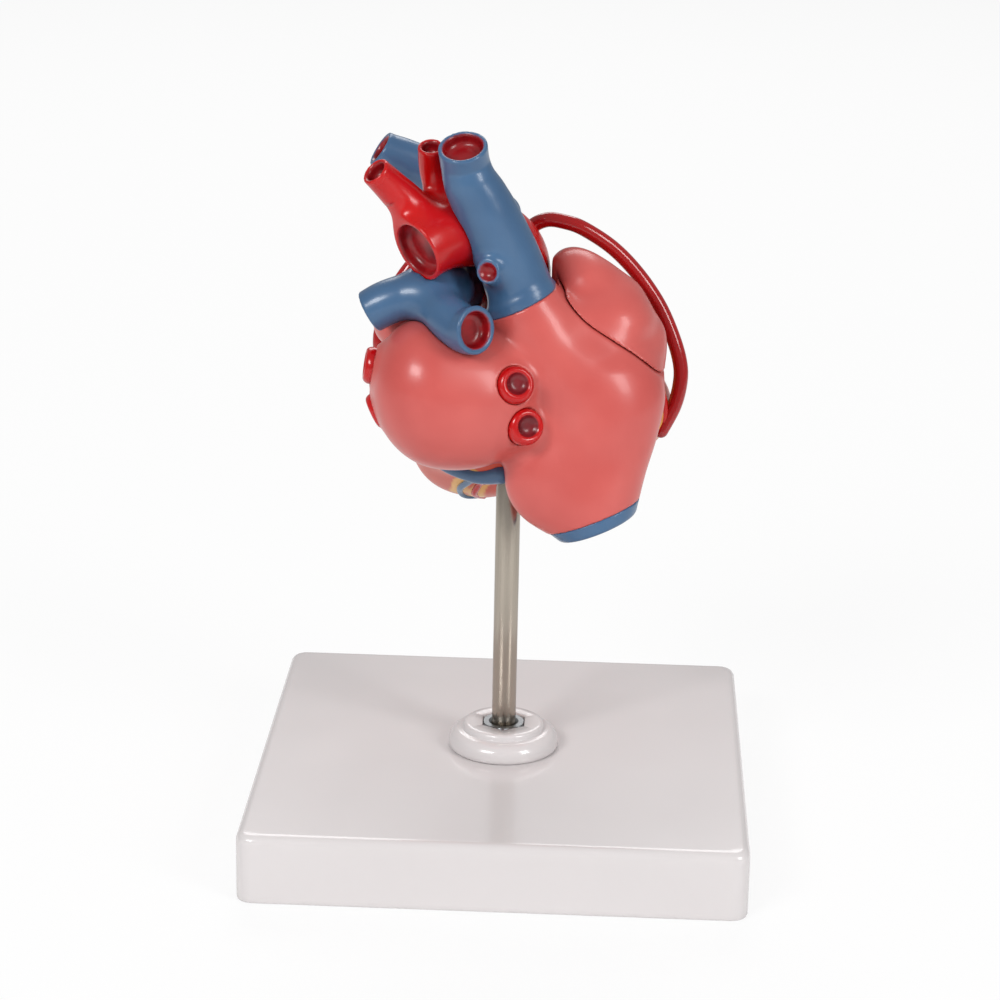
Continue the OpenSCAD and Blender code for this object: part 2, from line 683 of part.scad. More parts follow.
module right_coronary_artery() color("crimson") cast() difference() {
    surface_vessel(right_coronary_dirs, coronary_d);
    bypass(bypass_right_route, glue);
}
module anterior_artery() color("crimson") cast() difference() {
    surface_vessel(anterior_dirs, coronary_d);
    bypass(bypass_anterior_route, glue);
}
module circumflex_artery() color("crimson") cast() difference() {
    surface_vessel(circumflex_dirs, coronary_d);
    cord(on_skin(anterior_dirs, 3, 0), coronary_d / 2 + glue);
    cord(on_skin(vein_dirs, 3, 0), coronary_d / 2 + glue);
    bypass(bypass_circumflex_route, glue);
}
module cardiac_vein() color("steelblue") cast() difference() {
    surface_vessel(vein_dirs, coronary_d);
    cord(on_skin(anterior_dirs, 3, 0), coronary_d / 2 + glue);
}

module bypass(route, g = 0) cord([for (p = smooth(route, 2)) seat(p)], bypass_d / 2 + g, 1, 8);

module bypass_piece(route) color("firebrick") cast() difference() {
    bypass(route);
    aorta_body(part_gap);
    pulmonary_body(part_gap);
}
module bypass_right() bypass_piece(bypass_right_route);
module bypass_anterior() bypass_piece(bypass_anterior_route);
module bypass_circumflex() bypass_piece(bypass_circumflex_route);

// ---- Pegs ----
function part_y(z) = ledge_y + (z - ledge_z) * (ledge_y - part_low.x) / (ledge_z - part_low.y);
module peg_holes(g) for (p = pegs)
    translate(seat([p.x, part_y(p.y), p.y])) rotate([90, 0, 0])
        translate([0, 0, -peg_l / 2 - g]) cylinder(h = peg_l + 2 * g, d = peg_d + 2 * g, $fn = 16);

module locating_pegs() color("silver") for (p = pegs)
    translate(seat([p.x, part_y(p.y), p.y])) rotate([90, 0, 0])
        translate([0, 0, -peg_l / 2]) cylinder(h = peg_l, d = peg_d, $fn = 24);

base_plate();
rod_collar();
lock_nut();
clamp_washer();
clamp_nut();
rod();
rod_socket();
ventricles_rear();
left_atrium();
right_atrium();
left_auricle();
superior_vena_cava();
left_brachiocephalic_vein();
inferior_vena_cava();
aorta();
pulmonary_arteries();
right_superior_vein();
right_inferior_vein();
left_superior_vein();
left_inferior_vein();
coronary_sinus();
posterior_artery();
mitral_valve();
tricuspid_valve();
aortic_valve();
pulmonary_valve();
left_papillary_muscles();
front_wall();
right_auricle();
right_coronary_artery();
anterior_artery();
circumflex_artery();
cardiac_vein();
bypass_right();
bypass_anterior();
bypass_circumflex();
right_papillary_muscles();
locating_pegs();
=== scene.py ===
"""Looks of the classroom model of a human heart with three bypass tubes, on a rod stand.

Soft castings are solids told by a signed distance in millimetres, and each becomes a mesh by a
surface net whose corners are moved onto the true surface. The stand's mouldings and metal parts are
profiles carried round an axis. Heart coordinates have the stand's axis at x = y = 0 and their zero
height where the rod enters the heart; -Y is the front of the heart and +X its own left.
"""
from __future__ import annotations

import logging
from concurrent.futures import ThreadPoolExecutor
from dataclasses import dataclass, field
from enum import Enum
from typing import Callable, Sequence

import bpy
import numpy as np
from mathutils import Matrix, Vector

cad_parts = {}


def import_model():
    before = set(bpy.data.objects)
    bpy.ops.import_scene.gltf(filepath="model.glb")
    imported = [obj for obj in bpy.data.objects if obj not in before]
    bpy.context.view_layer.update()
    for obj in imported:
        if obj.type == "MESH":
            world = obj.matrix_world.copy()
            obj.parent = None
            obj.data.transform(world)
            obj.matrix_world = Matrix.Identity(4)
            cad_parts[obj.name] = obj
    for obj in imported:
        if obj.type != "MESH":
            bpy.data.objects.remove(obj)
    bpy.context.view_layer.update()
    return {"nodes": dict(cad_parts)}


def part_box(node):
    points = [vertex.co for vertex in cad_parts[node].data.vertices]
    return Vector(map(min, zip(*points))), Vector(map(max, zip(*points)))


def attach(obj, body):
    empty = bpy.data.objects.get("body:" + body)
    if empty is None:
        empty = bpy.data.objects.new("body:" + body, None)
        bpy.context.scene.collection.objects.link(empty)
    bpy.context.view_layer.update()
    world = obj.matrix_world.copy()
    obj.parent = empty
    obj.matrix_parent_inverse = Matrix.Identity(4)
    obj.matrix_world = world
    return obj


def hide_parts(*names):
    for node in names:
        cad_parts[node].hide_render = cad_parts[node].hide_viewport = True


Array = np.ndarray
Field = Callable[[Array], Array]
Stations = Sequence[Sequence[float]]

LOG = logging.getLogger("heart_model")
MM = 0.001
PHOTO_SIZE = 1000


class Body(Enum):
    """The bodies that move."""

    STAND = "stand"
    ROD = "rod_post"
    HEART = "heart"
    FRONT = "front"


class Slot(Enum):
    """The record's material slots."""

    STAND = "stand_plastic"
    STEEL = "steel"
    ROD = "rod_steel"
    MUSCLE = "muscle"
    ATRIUM = "atrium"
    BLUE = "vein_blue"
    RED = "artery_red"
    VALVE = "valve"
    BYPASS = "bypass_red"


def unit(v: Sequence[float]) -> Array:
    """The vector v at length one."""
    v = np.asarray(v, float)
    return v / np.linalg.norm(v)


def length(v: Array) -> Array:
    """The length of each row of v."""
    return np.sqrt(np.einsum("ij,ij->i", v, v))


# ---- Solids told by their distance ----
MARGIN = 9.0


def smooth_min(a: Array, b: Array, r: float) -> Array:
    """The smaller of two distances, with the valley between them filled over the width r."""
    if r <= 0:
        return np.minimum(a, b)
    h = np.maximum(r - np.abs(a - b), 0.0) / r
    return np.minimum(a, b) - h * h * r / 4


def smooth_max(a: Array, b: Array, r: float) -> Array:
    """The larger of two distances, with the edge between them rounded over the width r."""
    return -smooth_min(-a, -b, r)


def smooth_step(x: Array, low: float, high: float) -> Array:
    """0 below low, 1 above high, and an even S between them."""
    t = np.clip((x - low) / (high - low), 0, 1)
    return t * t * (3 - 2 * t)


@dataclass(frozen=True)
class Form:
    """A solid: its signed distance in millimetres, negative inside, and a box that holds it."""

    field: Field
    low: Array
    high: Array

    def __call__(self, p: Array) -> Array:
        """Distances of the points p. Beyond the margin the distance to the box stands in."""
        away = length(np.maximum(np.maximum(self.low - p, p - self.high), 0))
        near = away < MARGIN
        if near.any():
            away[near] = self.field(p[near])
        return away

    def join(self, other: Form, r: float = 0.0) -> Form:
        """This solid and another, with a fillet of about the width r."""
        return Form(lambda p: smooth_min(self(p), other(p), r),
                    np.minimum(self.low, other.low), np.maximum(self.high, other.high))

    def cut(self, tool: Field, r: float = 0.0, gap: float = 0.0) -> Form:
        """This solid less the tool grown by the gap, with edges rounded over the width r."""
        return Form(lambda p: smooth_max(self(p), gap - tool(p), r), self.low, self.high)

    def keep(self, tool: Field, r: float = 0.0) -> Form:
        """What lies inside both, with edges rounded over the width r."""
        return Form(lambda p: smooth_max(self(p), tool(p), r), self.low, self.high)


def ellipsoid(centre: Array, half: Array) -> Form:
    """An ellipsoid: k0 (k0 - 1) / k1, with k0 and k1 the lengths of the point over the
    half-widths and over their squares."""

    def distance(p: Array) -> Array:
        """Distances of the points p."""
        q = p - centre
        k0, k1 = length(q / half), length(q / (half * half))
        return k0 * (k0 - 1) / np.maximum(k1, 1e-9)

    return Form(distance, centre - half, centre + half)


def lobed(mid: Sequence[float], lobes: Stations, r: float) -> Form:
    """Ellipsoids [offset, half-widths] round a middle, run together over the width r.

    Args:
        mid: the middle, in heart coordinates.
        lobes: rows of three offsets and three half-widths.
        r: the width over which they run together.

    Returns:
        The joined solid.
    """
    solids = [ellipsoid(seat(mid) + np.array(row[:3]), np.array(row[3:])) for row in lobes]
    whole = solids[0]
    for solid in solids[1:]:
        whole = whole.join(solid, r)
    return whole


HEART_Z = 88.0


def seat(p: Sequence[float]) -> Array:
    """Heart coordinates in the frame of the stand, in millimetres."""
    return np.array([p[0], p[1], p[2] + HEART_Z], float)


@dataclass(frozen=True)
class Mouth:
    """The open end of a vessel: a flat rim round a recess with a rounded floor."""

    point: Array
    out: Array
    radius: float
    wall: float = 1.3
    depth: float = 3.0

    def beyond(self, p: Array) -> Array:
        """How far the points p lie past the rim's plane."""
        return (p - self.point) @ self.out

    def hollow(self, p: Array) -> Array:
        """Distance to the recess, which narrows slightly inwards."""
        along = self.beyond(p)
        radial = length(p - self.point - along[:, None] * self.out)
        inner = self.radius - self.wall + 0.1 * np.minimum(along, 0)
        return smooth_max(radial - inner, -(along + self.depth), 1.6)


class Vessel:
    """A round vessel along stations [x, y, z, share of the radius] on a Catmull-Rom curve."""

    def __init__(self, stations: Stations, radius: float) -> None:
        """Seats the stations in the heart and turns their shares into radii."""
        self.run = np.array([[*seat(s[:3]), radius * s[3]] for s in stations])
        self.last = len(self.run) - 1
        i = np.arange(self.last)
        a, b, c, d = (self.run[np.clip(i + s, 0, self.last)] for s in (-1, 0, 1, 2))
        self.cubic = (b, (c - a) / 2, (2 * a - 5 * b + 4 * c - d) / 2, (3 * b - a - 3 * c + d) / 2)

    def at(self, u: Array) -> Array:
        """Points [x, y, z, radius] at the parameters u.

        The curve between b and c is (2b + (c - a) t + (2a - 5b + 4c - d) t^2
        + (3b - a - 3c + d) t^3) / 2, with a and d the stations before and after.
        """
        i = np.clip(u.astype(int), 0, self.last - 1)
        t = (u - i)[:, None]
        k0, k1, k2, k3 = (k[i] for k in self.cubic)
        return k0 + t * (k1 + t * (k2 + t * k3))

    def slope(self, u: Array) -> Array:
        """How fast the curve runs at the parameters u."""
        i = np.clip(u.astype(int), 0, self.last - 1)
        t = (u - i)[:, None]
        _, k1, k2, k3 = (k[i, :3] for k in self.cubic)
        return k1 + t * (2 * k2 + t * 3 * k3)

    def nearest(self, p: Array) -> Array:
        """The nearest place on the curve for each point: the best of some samples by the power
        |p - q|^2 - r^2, then two steps of (p - q) . s / |s|^2 with s the curve's slope."""
        samples = np.linspace(0, self.last, 4 * self.last + 1)
        q = self.at(samples)
        power = (q[:, :3] ** 2).sum(1) - q[:, 3] ** 2 - 2 * p @ q[:, :3].T
        u = samples[power.argmin(1)]
        for _ in range(2):
            s = self.slope(u)
            step = np.einsum("ij,ij->i", p - self.at(u)[:, :3], s) / np.einsum("ij,ij->i", s, s)
            u = np.clip(u + step, 0, self.last)
        return u

    def distance(self, p: Array) -> Array:
        """Distances of the points p to the vessel's skin."""
        c = self.at(self.nearest(p))
        return length(p - c[:, :3]) - c[:, 3]

    def form(self) -> Form:
        """The vessel as a solid."""
        reach = self.run[:, 3].max() + 1
        return Form(self.distance, self.run[:, :3].min(0) - reach, self.run[:, :3].max(0) + reach)

    def mouth(self, end: bool = True, **sizes: float) -> Mouth:
        """The open end of the vessel, at its last station or at its first."""
        u = np.array([float(self.last if end else 0)])
        out = unit(self.slope(u)[0]) * (1 if end else -1)
        centre = self.run[-1 if end else 0]
        return Mouth(centre[:3], out, centre[3], **sizes)


def opened(form: Form, mouths: Sequence[Mouth]) -> Form:
    """A solid with open ends: cut flat at each rim near it, and recessed, with soft edges."""
    for m in mouths:
        def sleeve(p: Array, m: Mouth = m) -> Array:
            """What lies past the rim's plane, within reach of the mouth."""
            near = length(p - m.point) - 1.6 * m.radius
            return np.maximum(-m.beyond(p), near)
        form = form.cut(sleeve, 0.5).cut(m.hollow, 0.9)
    return form


def funnel(stations: Stations, axis: Array) -> Form:
    """Ellipses [x, y, z, half-width, half-depth] in planes across one axis, on a smooth run."""
    run = Vessel([[*s[:3], 1] for s in stations], 1.0)
    sizes = Vessel([[s[3], s[4], 0, 1] for s in stations], 1.0)
    u = np.linspace(0, run.last, 500)
    centres = run.at(u)[:, :3]
    halves = sizes.at(u)[:, :2]
    t = centres @ axis
    e = unit(np.cross([0, 1, 0], axis))
    f = np.cross(axis, e)
    reach = halves.max()

    def distance(p: Array) -> Array:
        """The ellipse's own distance across the axis, and the flat ends along it."""
        s = p @ axis
        c = np.stack([np.interp(s, t, centres[:, k]) for k in range(3)], 1)
        a, b = np.interp(s, t, halves[:, 0]), np.interp(s, t, halves[:, 1])
        x, y = (p - c) @ e, (p - c) @ f
        k0 = np.hypot(x / a, y / b)
        k1 = np.hypot(x / a ** 2, y / b ** 2)
        side = k0 * (k0 - 1) / np.maximum(k1, 1e-9)
        return smooth_max(side, np.maximum(t[0] - s, s - t[-1]), 1.0)

    return Form(distance, centres.min(0) - reach, centres.max(0) + reach)


def below_line(q: Array, line: Array) -> Array:
    """Distances of the points q from a line of points in their plane, whose ends run on straight.

    On the stretch from a along d, the nearest place is a + t d with t = (q - a) . d / |d|^2 kept
    from 0 to 1, and the sign is that of d x (q - a): positive on the line's left.
    """
    best, side = np.full(len(q), np.inf), np.ones(len(q))
    last = len(line) - 2
    for i, (a, d) in enumerate(zip(line[:-1], np.diff(line, axis=0))):
        t = np.clip((q - a) @ d / (d @ d), -99 if i == 0 else 0, 99 if i == last else 1)
        away = length(q - a - t[:, None] * d)
        closer = away < best
        best[closer] = away[closer]
        side[closer] = np.sign(d[0] * (q[:, 1] - a[1]) - d[1] * (q[:, 0] - a[0]))[closer]
    return best * side


# ---- Meshes ----
CORNERS = np.array([[i, j, k] for i in (0, 1) for j in (0, 1) for k in (0, 1)])
EDGES = [(a, b) for a in range(8) for b in range(a + 1, 8)
         if np.abs(CORNERS[a] - CORNERS[b]).sum() == 1]
BLOCK = 5
CORES = 4


def spread(form: Form, p: Array) -> Array:
    """The form's distances at the points p, shared out among the processor's cores."""
    with ThreadPoolExecutor(CORES) as pool:
        return np.concatenate(list(pool.map(form, np.array_split(p, 4 * CORES))))


def sampled(form: Form, origin: Array, shape: Array, step: float) -> Array:
    """The form's distances on a grid, worked out only in the blocks that its skin may cross."""
    blocks = np.ceil((shape - 1) / BLOCK).astype(int)
    values = np.full(blocks * BLOCK + 1, 1.0)
    index = np.stack(np.meshgrid(*[np.arange(n) for n in blocks], indexing="ij"), -1).reshape(-1, 3)
    middle = spread(form, origin + (index + 0.5) * BLOCK * step)
    reach = BLOCK * step * 0.87 * 1.6
    for b, d in zip(index, middle):
        if abs(d) >= reach:
            lo = b * BLOCK
            values[lo[0]:lo[0] + BLOCK + 1, lo[1]:lo[1] + BLOCK + 1, lo[2]:lo[2] + BLOCK + 1] = d
    cell = np.stack(np.meshgrid(*[np.arange(BLOCK + 1)] * 3, indexing="ij"), -1).reshape(-1, 3)
    near = index[np.abs(middle) < reach]
    for part in np.array_split(near, max(1, len(near) // 2000)):
        where = (part[:, None, :] * BLOCK + cell[None]).reshape(-1, 3)
        values[tuple(where.T)] = spread(form, origin + where * step)
    return values


def surface_net(form: Form, step: float) -> tuple[Array, Array]:
    """The skin of a form as quads.

    Each cell that the skin crosses gets one corner, at the mean of the crossings on its edges, and
    each grid edge that the skin crosses joins four of them. Then Newton's rule moves each corner
    onto the skin: p - d g / |g|^2, with d the distance there and g its slope.

    Args:
        form: the solid.
        step: the grid's step in millimetres.

    Returns:
        The corners in millimetres and the quads.
    """
    origin = form.low - 2.5 * step
    shape = np.ceil((form.high - origin) / step).astype(int) + 4
    v = sampled(form, origin, shape, step)
    inside = v < 0
    n = np.array(v.shape) - 1
    corner = [inside[c[0]:c[0] + n[0], c[1]:c[1] + n[1], c[2]:c[2] + n[2]] for c in CORNERS]
    count = sum(c.astype(np.int8) for c in corner)
    cells = np.argwhere((count > 0) & (count < 8))
    values = np.stack([v[tuple((cells + c).T)] for c in CORNERS], 1)
    total = np.zeros((len(cells), 3))
    hits = np.zeros(len(cells))
    for a, b in EDGES:
        cross = (values[:, a] < 0) != (values[:, b] < 0)
        t = values[cross, a] / (values[cross, a] - values[cross, b])
        total[cross] += CORNERS[a] + t[:, None] * (CORNERS[b] - CORNERS[a])
        hits[cross] += 1
    points = origin + (cells + total / hits[:, None]) * step
    number = np.full(tuple(n), -1)
    number[tuple(cells.T)] = np.arange(len(cells))
    quads = []
    for axis in range(3):
        one = np.eye(3, dtype=int)[axis]
        first = inside[tuple(slice(0, s - o) for s, o in zip(inside.shape, one))]
        second = inside[tuple(slice(o, s) for s, o in zip(inside.shape, one))]
        at = np.argwhere(first != second)
        at = at[(np.delete(at, axis, 1) > 0).all(1) & (at < n).all(1)]
        j, k = np.eye(3, dtype=int)[(axis + 1) % 3], np.eye(3, dtype=int)[(axis + 2) % 3]
        ring = np.stack([number[tuple((at - d).T)] for d in (j + k, k, 0 * k, j)], 1)
        outward = first[tuple(at.T)]
        ring[~outward] = ring[~outward][:, ::-1]
        quads.append(ring)
    return on_skin(form, points, step), np.concatenate(quads)


def on_skin(form: Form, p: Array, step: float) -> Array:
    """The points p moved onto the form's skin, no further than the step."""
    start = p.copy()
    probe = 0.02
    for _ in range(2):
        d = spread(form, p)
        g = np.stack([spread(form, p + probe * e) - d for e in np.eye(3)], 1) / probe
        p = p - np.clip(d, -step, step)[:, None] * g / np.maximum((g * g).sum(1), 0.25)[:, None]
        p = start + np.clip(p - start, -step, step)
    return p


def new_object(name: str, points: Array, faces: Sequence[Sequence[int]]) -> bpy.types.Object:
    """A smooth-shaded mesh object at the origin, from points in millimetres."""
    mesh = bpy.data.meshes.new(name)
    mesh.from_pydata((points * MM).tolist(), [], [list(map(int, f)) for f in faces])
    mesh.update()
    mesh.polygons.foreach_set("use_smooth", np.ones(len(mesh.polygons), bool))
    piece = bpy.data.objects.new(name, mesh)
    bpy.context.scene.collection.objects.link(piece)
    return piece


def paint(piece: bpy.types.Object, layer: str, amount: Array) -> None:
    """Writes a number for each corner of a piece, which its material reads as a mask."""
    attribute = piece.data.attributes.new(layer, "FLOAT", "POINT")
    attribute.data.foreach_set("value", amount.astype(np.float32))


def lathe(rings: Sequence[tuple[Array, float]]) -> tuple[Array, Array]:
    """Rings of points joined into a closed skin that comes back to its first ring.

    Args:
        rings: for each ring its radii round the axis, and its height.

    Returns:
        The points and the quads.
    """
    n = len(rings[0][0])
    a = np.linspace(0, 2 * np.pi, n, endpoint=False)
    points = np.concatenate([np.stack([r * np.cos(a), r * np.sin(a), np.full(n, z)], 1)
                             for r, z in rings])
    j, i = np.meshgrid(np.arange(len(rings)), np.arange(n), indexing="ij")
    k, m = (j + 1) % len(rings), (i + 1) % n
    quads = np.stack([j * n + i, j * n + m, k * n + m, k * n + i], -1).reshape(-1, 4)
    return points, quads


# ---- Shader maths ----
class Expr:
    """A socket that adds Math nodes by Python's own operators."""

    def __init__(self, tree: bpy.types.NodeTree, socket: bpy.types.NodeSocket) -> None:
        """Wraps a socket of a tree."""
        self.tree = tree
        self.socket = socket

    def math(self, operation: str, *values: Expr | float, clamp: bool = False) -> Expr:
        """A Math node on this socket and more values."""
        node = self.tree.nodes.new("ShaderNodeMath")
        node.operation = operation
        node.use_clamp = clamp
        for slot, value in enumerate((self, *values)):
            if isinstance(value, Expr):
                self.tree.links.new(value.socket, node.inputs[slot])
            else:
                node.inputs[slot].default_value = value
        return Expr(self.tree, node.outputs[0])

    def __add__(self, other: Expr | float) -> Expr:
        """The sum."""
        return self.math("ADD", other)

    __radd__ = __add__

    def __mul__(self, other: Expr | float) -> Expr:
        """The product."""
        return self.math("MULTIPLY", other)

    __rmul__ = __mul__

    def __sub__(self, other: Expr | float) -> Expr:
        """The difference."""
        return self.math("SUBTRACT", other)

    def __rsub__(self, other: float) -> Expr:
        """A number less this socket."""
        return self * -1.0 + other

    def clamped(self) -> Expr:
        """This socket between 0 and 1."""
        return self.math("ADD", 0.0, clamp=True)


class Paints:
    """A material's tree, with the nodes that the finishes share."""

    def __init__(self, name: str) -> None:
        """A new material with one Principled BSDF."""
        self.material = bpy.data.materials.new(name)
        self.material.use_nodes = True
        self.tree = self.material.node_tree
        self.shader = self.tree.nodes["Principled BSDF"]
        self.place = self.node("ShaderNodeTexCoord").outputs["Object"]

    def node(self, kind: str, settings: dict | None = None, **inputs: object) -> bpy.types.Node:
        """Adds a node.

        Args:
            kind: the node's type.
            settings: what is set on the node itself.
            inputs: values or sockets, by the input's name with _ for a space.

        Returns:
            The node.
        """
        node = self.tree.nodes.new(kind)
        for key, value in (settings or {}).items():
            setattr(node, key, value)
        for key, value in inputs.items():
            target = node.inputs[key.replace("_", " ")]
            value = value.socket if isinstance(value, Expr) else value
            if isinstance(value, bpy.types.NodeSocket):
                self.tree.links.new(value, target)
            else:
                target.default_value = value
        return node

    def noise(self, size_mm: float, detail: float = 2.0, stretch: Sequence[float] = (1, 1, 1)) -> Expr:
        """Noise with features of a size in millimetres, from about 0 to 1."""
        mapping = self.node("ShaderNodeMapping", Vector=self.place, Scale=tuple(stretch))
        made = self.node("ShaderNodeTexNoise", Vector=mapping.outputs[0],
                         Scale=1 / (size_mm * MM), Detail=detail)
        return Expr(self.tree, made.outputs["Fac"])

    def layer(self, name: str) -> Expr:
        """A mask painted on the piece's corners."""
        made = self.node("ShaderNodeAttribute", {"attribute_name": name})
        return Expr(self.tree, made.outputs["Fac"])

    def mix(self, factor: Expr, a: object, b: object) -> bpy.types.NodeSocket:
        """A colour between a and b."""
        made = self.node("ShaderNodeMix", {"data_type": "RGBA"})
        self.tree.links.new(factor.socket, made.inputs[0])
        for target, value in ((made.inputs[6], a), (made.inputs[7], b)):
            if isinstance(value, bpy.types.NodeSocket):
                self.tree.links.new(value, target)
            else:
                target.default_value = value
        return made.outputs[2]

    def finish(self, colour: object, roughness: object, bump: Expr | None = None,
               height_mm: float = 0.02, **numbers: float) -> bpy.types.Material:
        """Ties colour, roughness and bump to the shader, and sets plain numbers on its sockets."""
        for name, value in (("Base Color", colour), ("Roughness", roughness)):
            value = value.socket if isinstance(value, Expr) else value
            if isinstance(value, bpy.types.NodeSocket):
                self.tree.links.new(value, self.shader.inputs[name])
            else:
                self.shader.inputs[name].default_value = value
        if bump is not None:
            made = self.node("ShaderNodeBump", Height=bump, Distance=height_mm * MM, Strength=1.0)
            self.tree.links.new(made.outputs[0], self.shader.inputs["Normal"])
        for name, value in numbers.items():
            self.shader.inputs[name.replace("_", " ")].default_value = value
        return self.material


def srgb(r: int, g: int, b: int) -> tuple[float, float, float, float]:
    """A colour of 0 to 255 as the shader's linear colour."""
    return (*[((c / 255 + 0.055) / 1.055) ** 2.4 if c > 10 else c / 3295 for c in (r, g, b)], 1.0)


@dataclass(frozen=True)
class CastPaint:
    """Hand-painted soft plastic: a ground colour with slow drifts, and glossy maroon hollows."""

    name: str
    ground: tuple
    drift: tuple
    gloss: float = 0.34
    coat: float = 0.35
    hollow: tuple = srgb(150, 14, 22)
    deep: tuple = srgb(108, 8, 16)
    patch: tuple | None = None
    inner: tuple | None = None

    def build(self) -> bpy.types.Material:
        """The material: slow noise mixes ground and drift, painted masks add the rest."""
        p = Paints(self.name)
        slow = ((p.noise(17) - 0.38) * 2.6).clamped()
        colour = p.mix(slow, self.ground, self.drift)
        if self.patch is not None:
            colour = p.mix(p.layer("patch"), colour, self.patch)
        if self.inner is not None:
            colour = p.mix(p.layer("inner"), colour, self.inner)
        lumen = p.layer("lumen")
        floor = p.mix(((p.noise(3.5) - 0.4) * 3.0).clamped(), self.hollow, self.deep)
        colour = p.mix(lumen, colour, floor)
        dull = p.noise(6.0) * 0.10 + (self.gloss - 0.05)
        rough = dull * (1 - lumen) + lumen * 0.3
        skin = p.noise(1.6, 3.0) * 0.6 + p.noise(9.0, 1.0) * 2.2
        return p.finish(colour, rough, skin, 0.025, Coat_Weight=self.coat, Coat_Roughness=0.16,
                        Specular_IOR_Level=0.42)


@dataclass(frozen=True)
class Moulding:
    """White glossy moulded plastic with a faint flow in its gloss."""

    name: str
    colour: tuple

    def build(self) -> bpy.types.Material:
        """The material: nearly one white, with slow shifts in tone and roughness."""
        p = Paints(self.name)
        slow = ((p.noise(60) - 0.4) * 2.0).clamped()
        shade = tuple(0.965 * c for c in self.colour[:3]) + (1.0,)
        rough = p.noise(25, 3.0) * 0.10 + 0.14
        return p.finish(p.mix(slow, self.colour, shade), rough, p.noise(30, 1.0), 0.03,
                        Coat_Weight=0.3, Coat_Roughness=0.08)


@dataclass(frozen=True)
class Steel:
    """Metal with lines along one direction."""

    name: str
    colour: tuple
    rough: float
    stretch: tuple = (1, 1, 0.02)
    line_mm: float = 0.25

    def build(self) -> bpy.types.Material:
        """The material: fine stretched noise in tone, roughness and bump."""
        p = Paints(self.name)
        lines = p.noise(self.line_mm, 2.0, self.stretch)
        shade = tuple(0.8 * c for c in self.colour[:3]) + (1.0,)
        rough = lines * 0.14 + (self.rough - 0.07)
        return p.finish(p.mix(lines, self.colour, shade), rough, lines, 0.004, Metallic=1.0)


class Palette:
    """Every finish of the model, built once."""

    def __init__(self) -> None:
        """Builds the materials."""
        red, blue, pink = srgb(194, 8, 9), srgb(68, 103, 139), srgb(205, 93, 87)
        muscle = srgb(204, 75, 50)
        self.red = CastPaint("artery_paint", red, srgb(176, 6, 9), 0.26, 0.15).build()
        self.blue = CastPaint("vein_paint", blue, srgb(60, 92, 127), 0.3, 0.2).build()
        self.pink = CastPaint("atrium_paint", pink, srgb(195, 81, 76), 0.34, 0.2,
                              inner=srgb(196, 74, 74)).build()
        self.muscle = CastPaint("muscle_paint", muscle, srgb(192, 64, 42), 0.36, 0.15,
                                patch=srgb(226, 168, 82), inner=srgb(206, 104, 92)).build()
        self.ring = CastPaint("ring_paint", srgb(192, 5, 9), srgb(176, 4, 8), 0.2, 0.2,
                              hollow=srgb(122, 20, 30), deep=srgb(92, 10, 18)).build()
        self.bypass = CastPaint("bypass_tube", srgb(166, 10, 14), srgb(152, 8, 12), 0.14, 0.4).build()
        self.valve = CastPaint("valve_paint", srgb(232, 214, 180), srgb(222, 198, 164), 0.4, 0.2).build()
        self.white = Moulding("white_moulding", srgb(218, 213, 213)).build()
        self.rod = Steel("brushed_rod", srgb(188, 178, 165), 0.24).build()
        self.zinc = Steel("zinc_plate", srgb(150, 152, 154), 0.35, (1, 1, 1), 1.2).build()


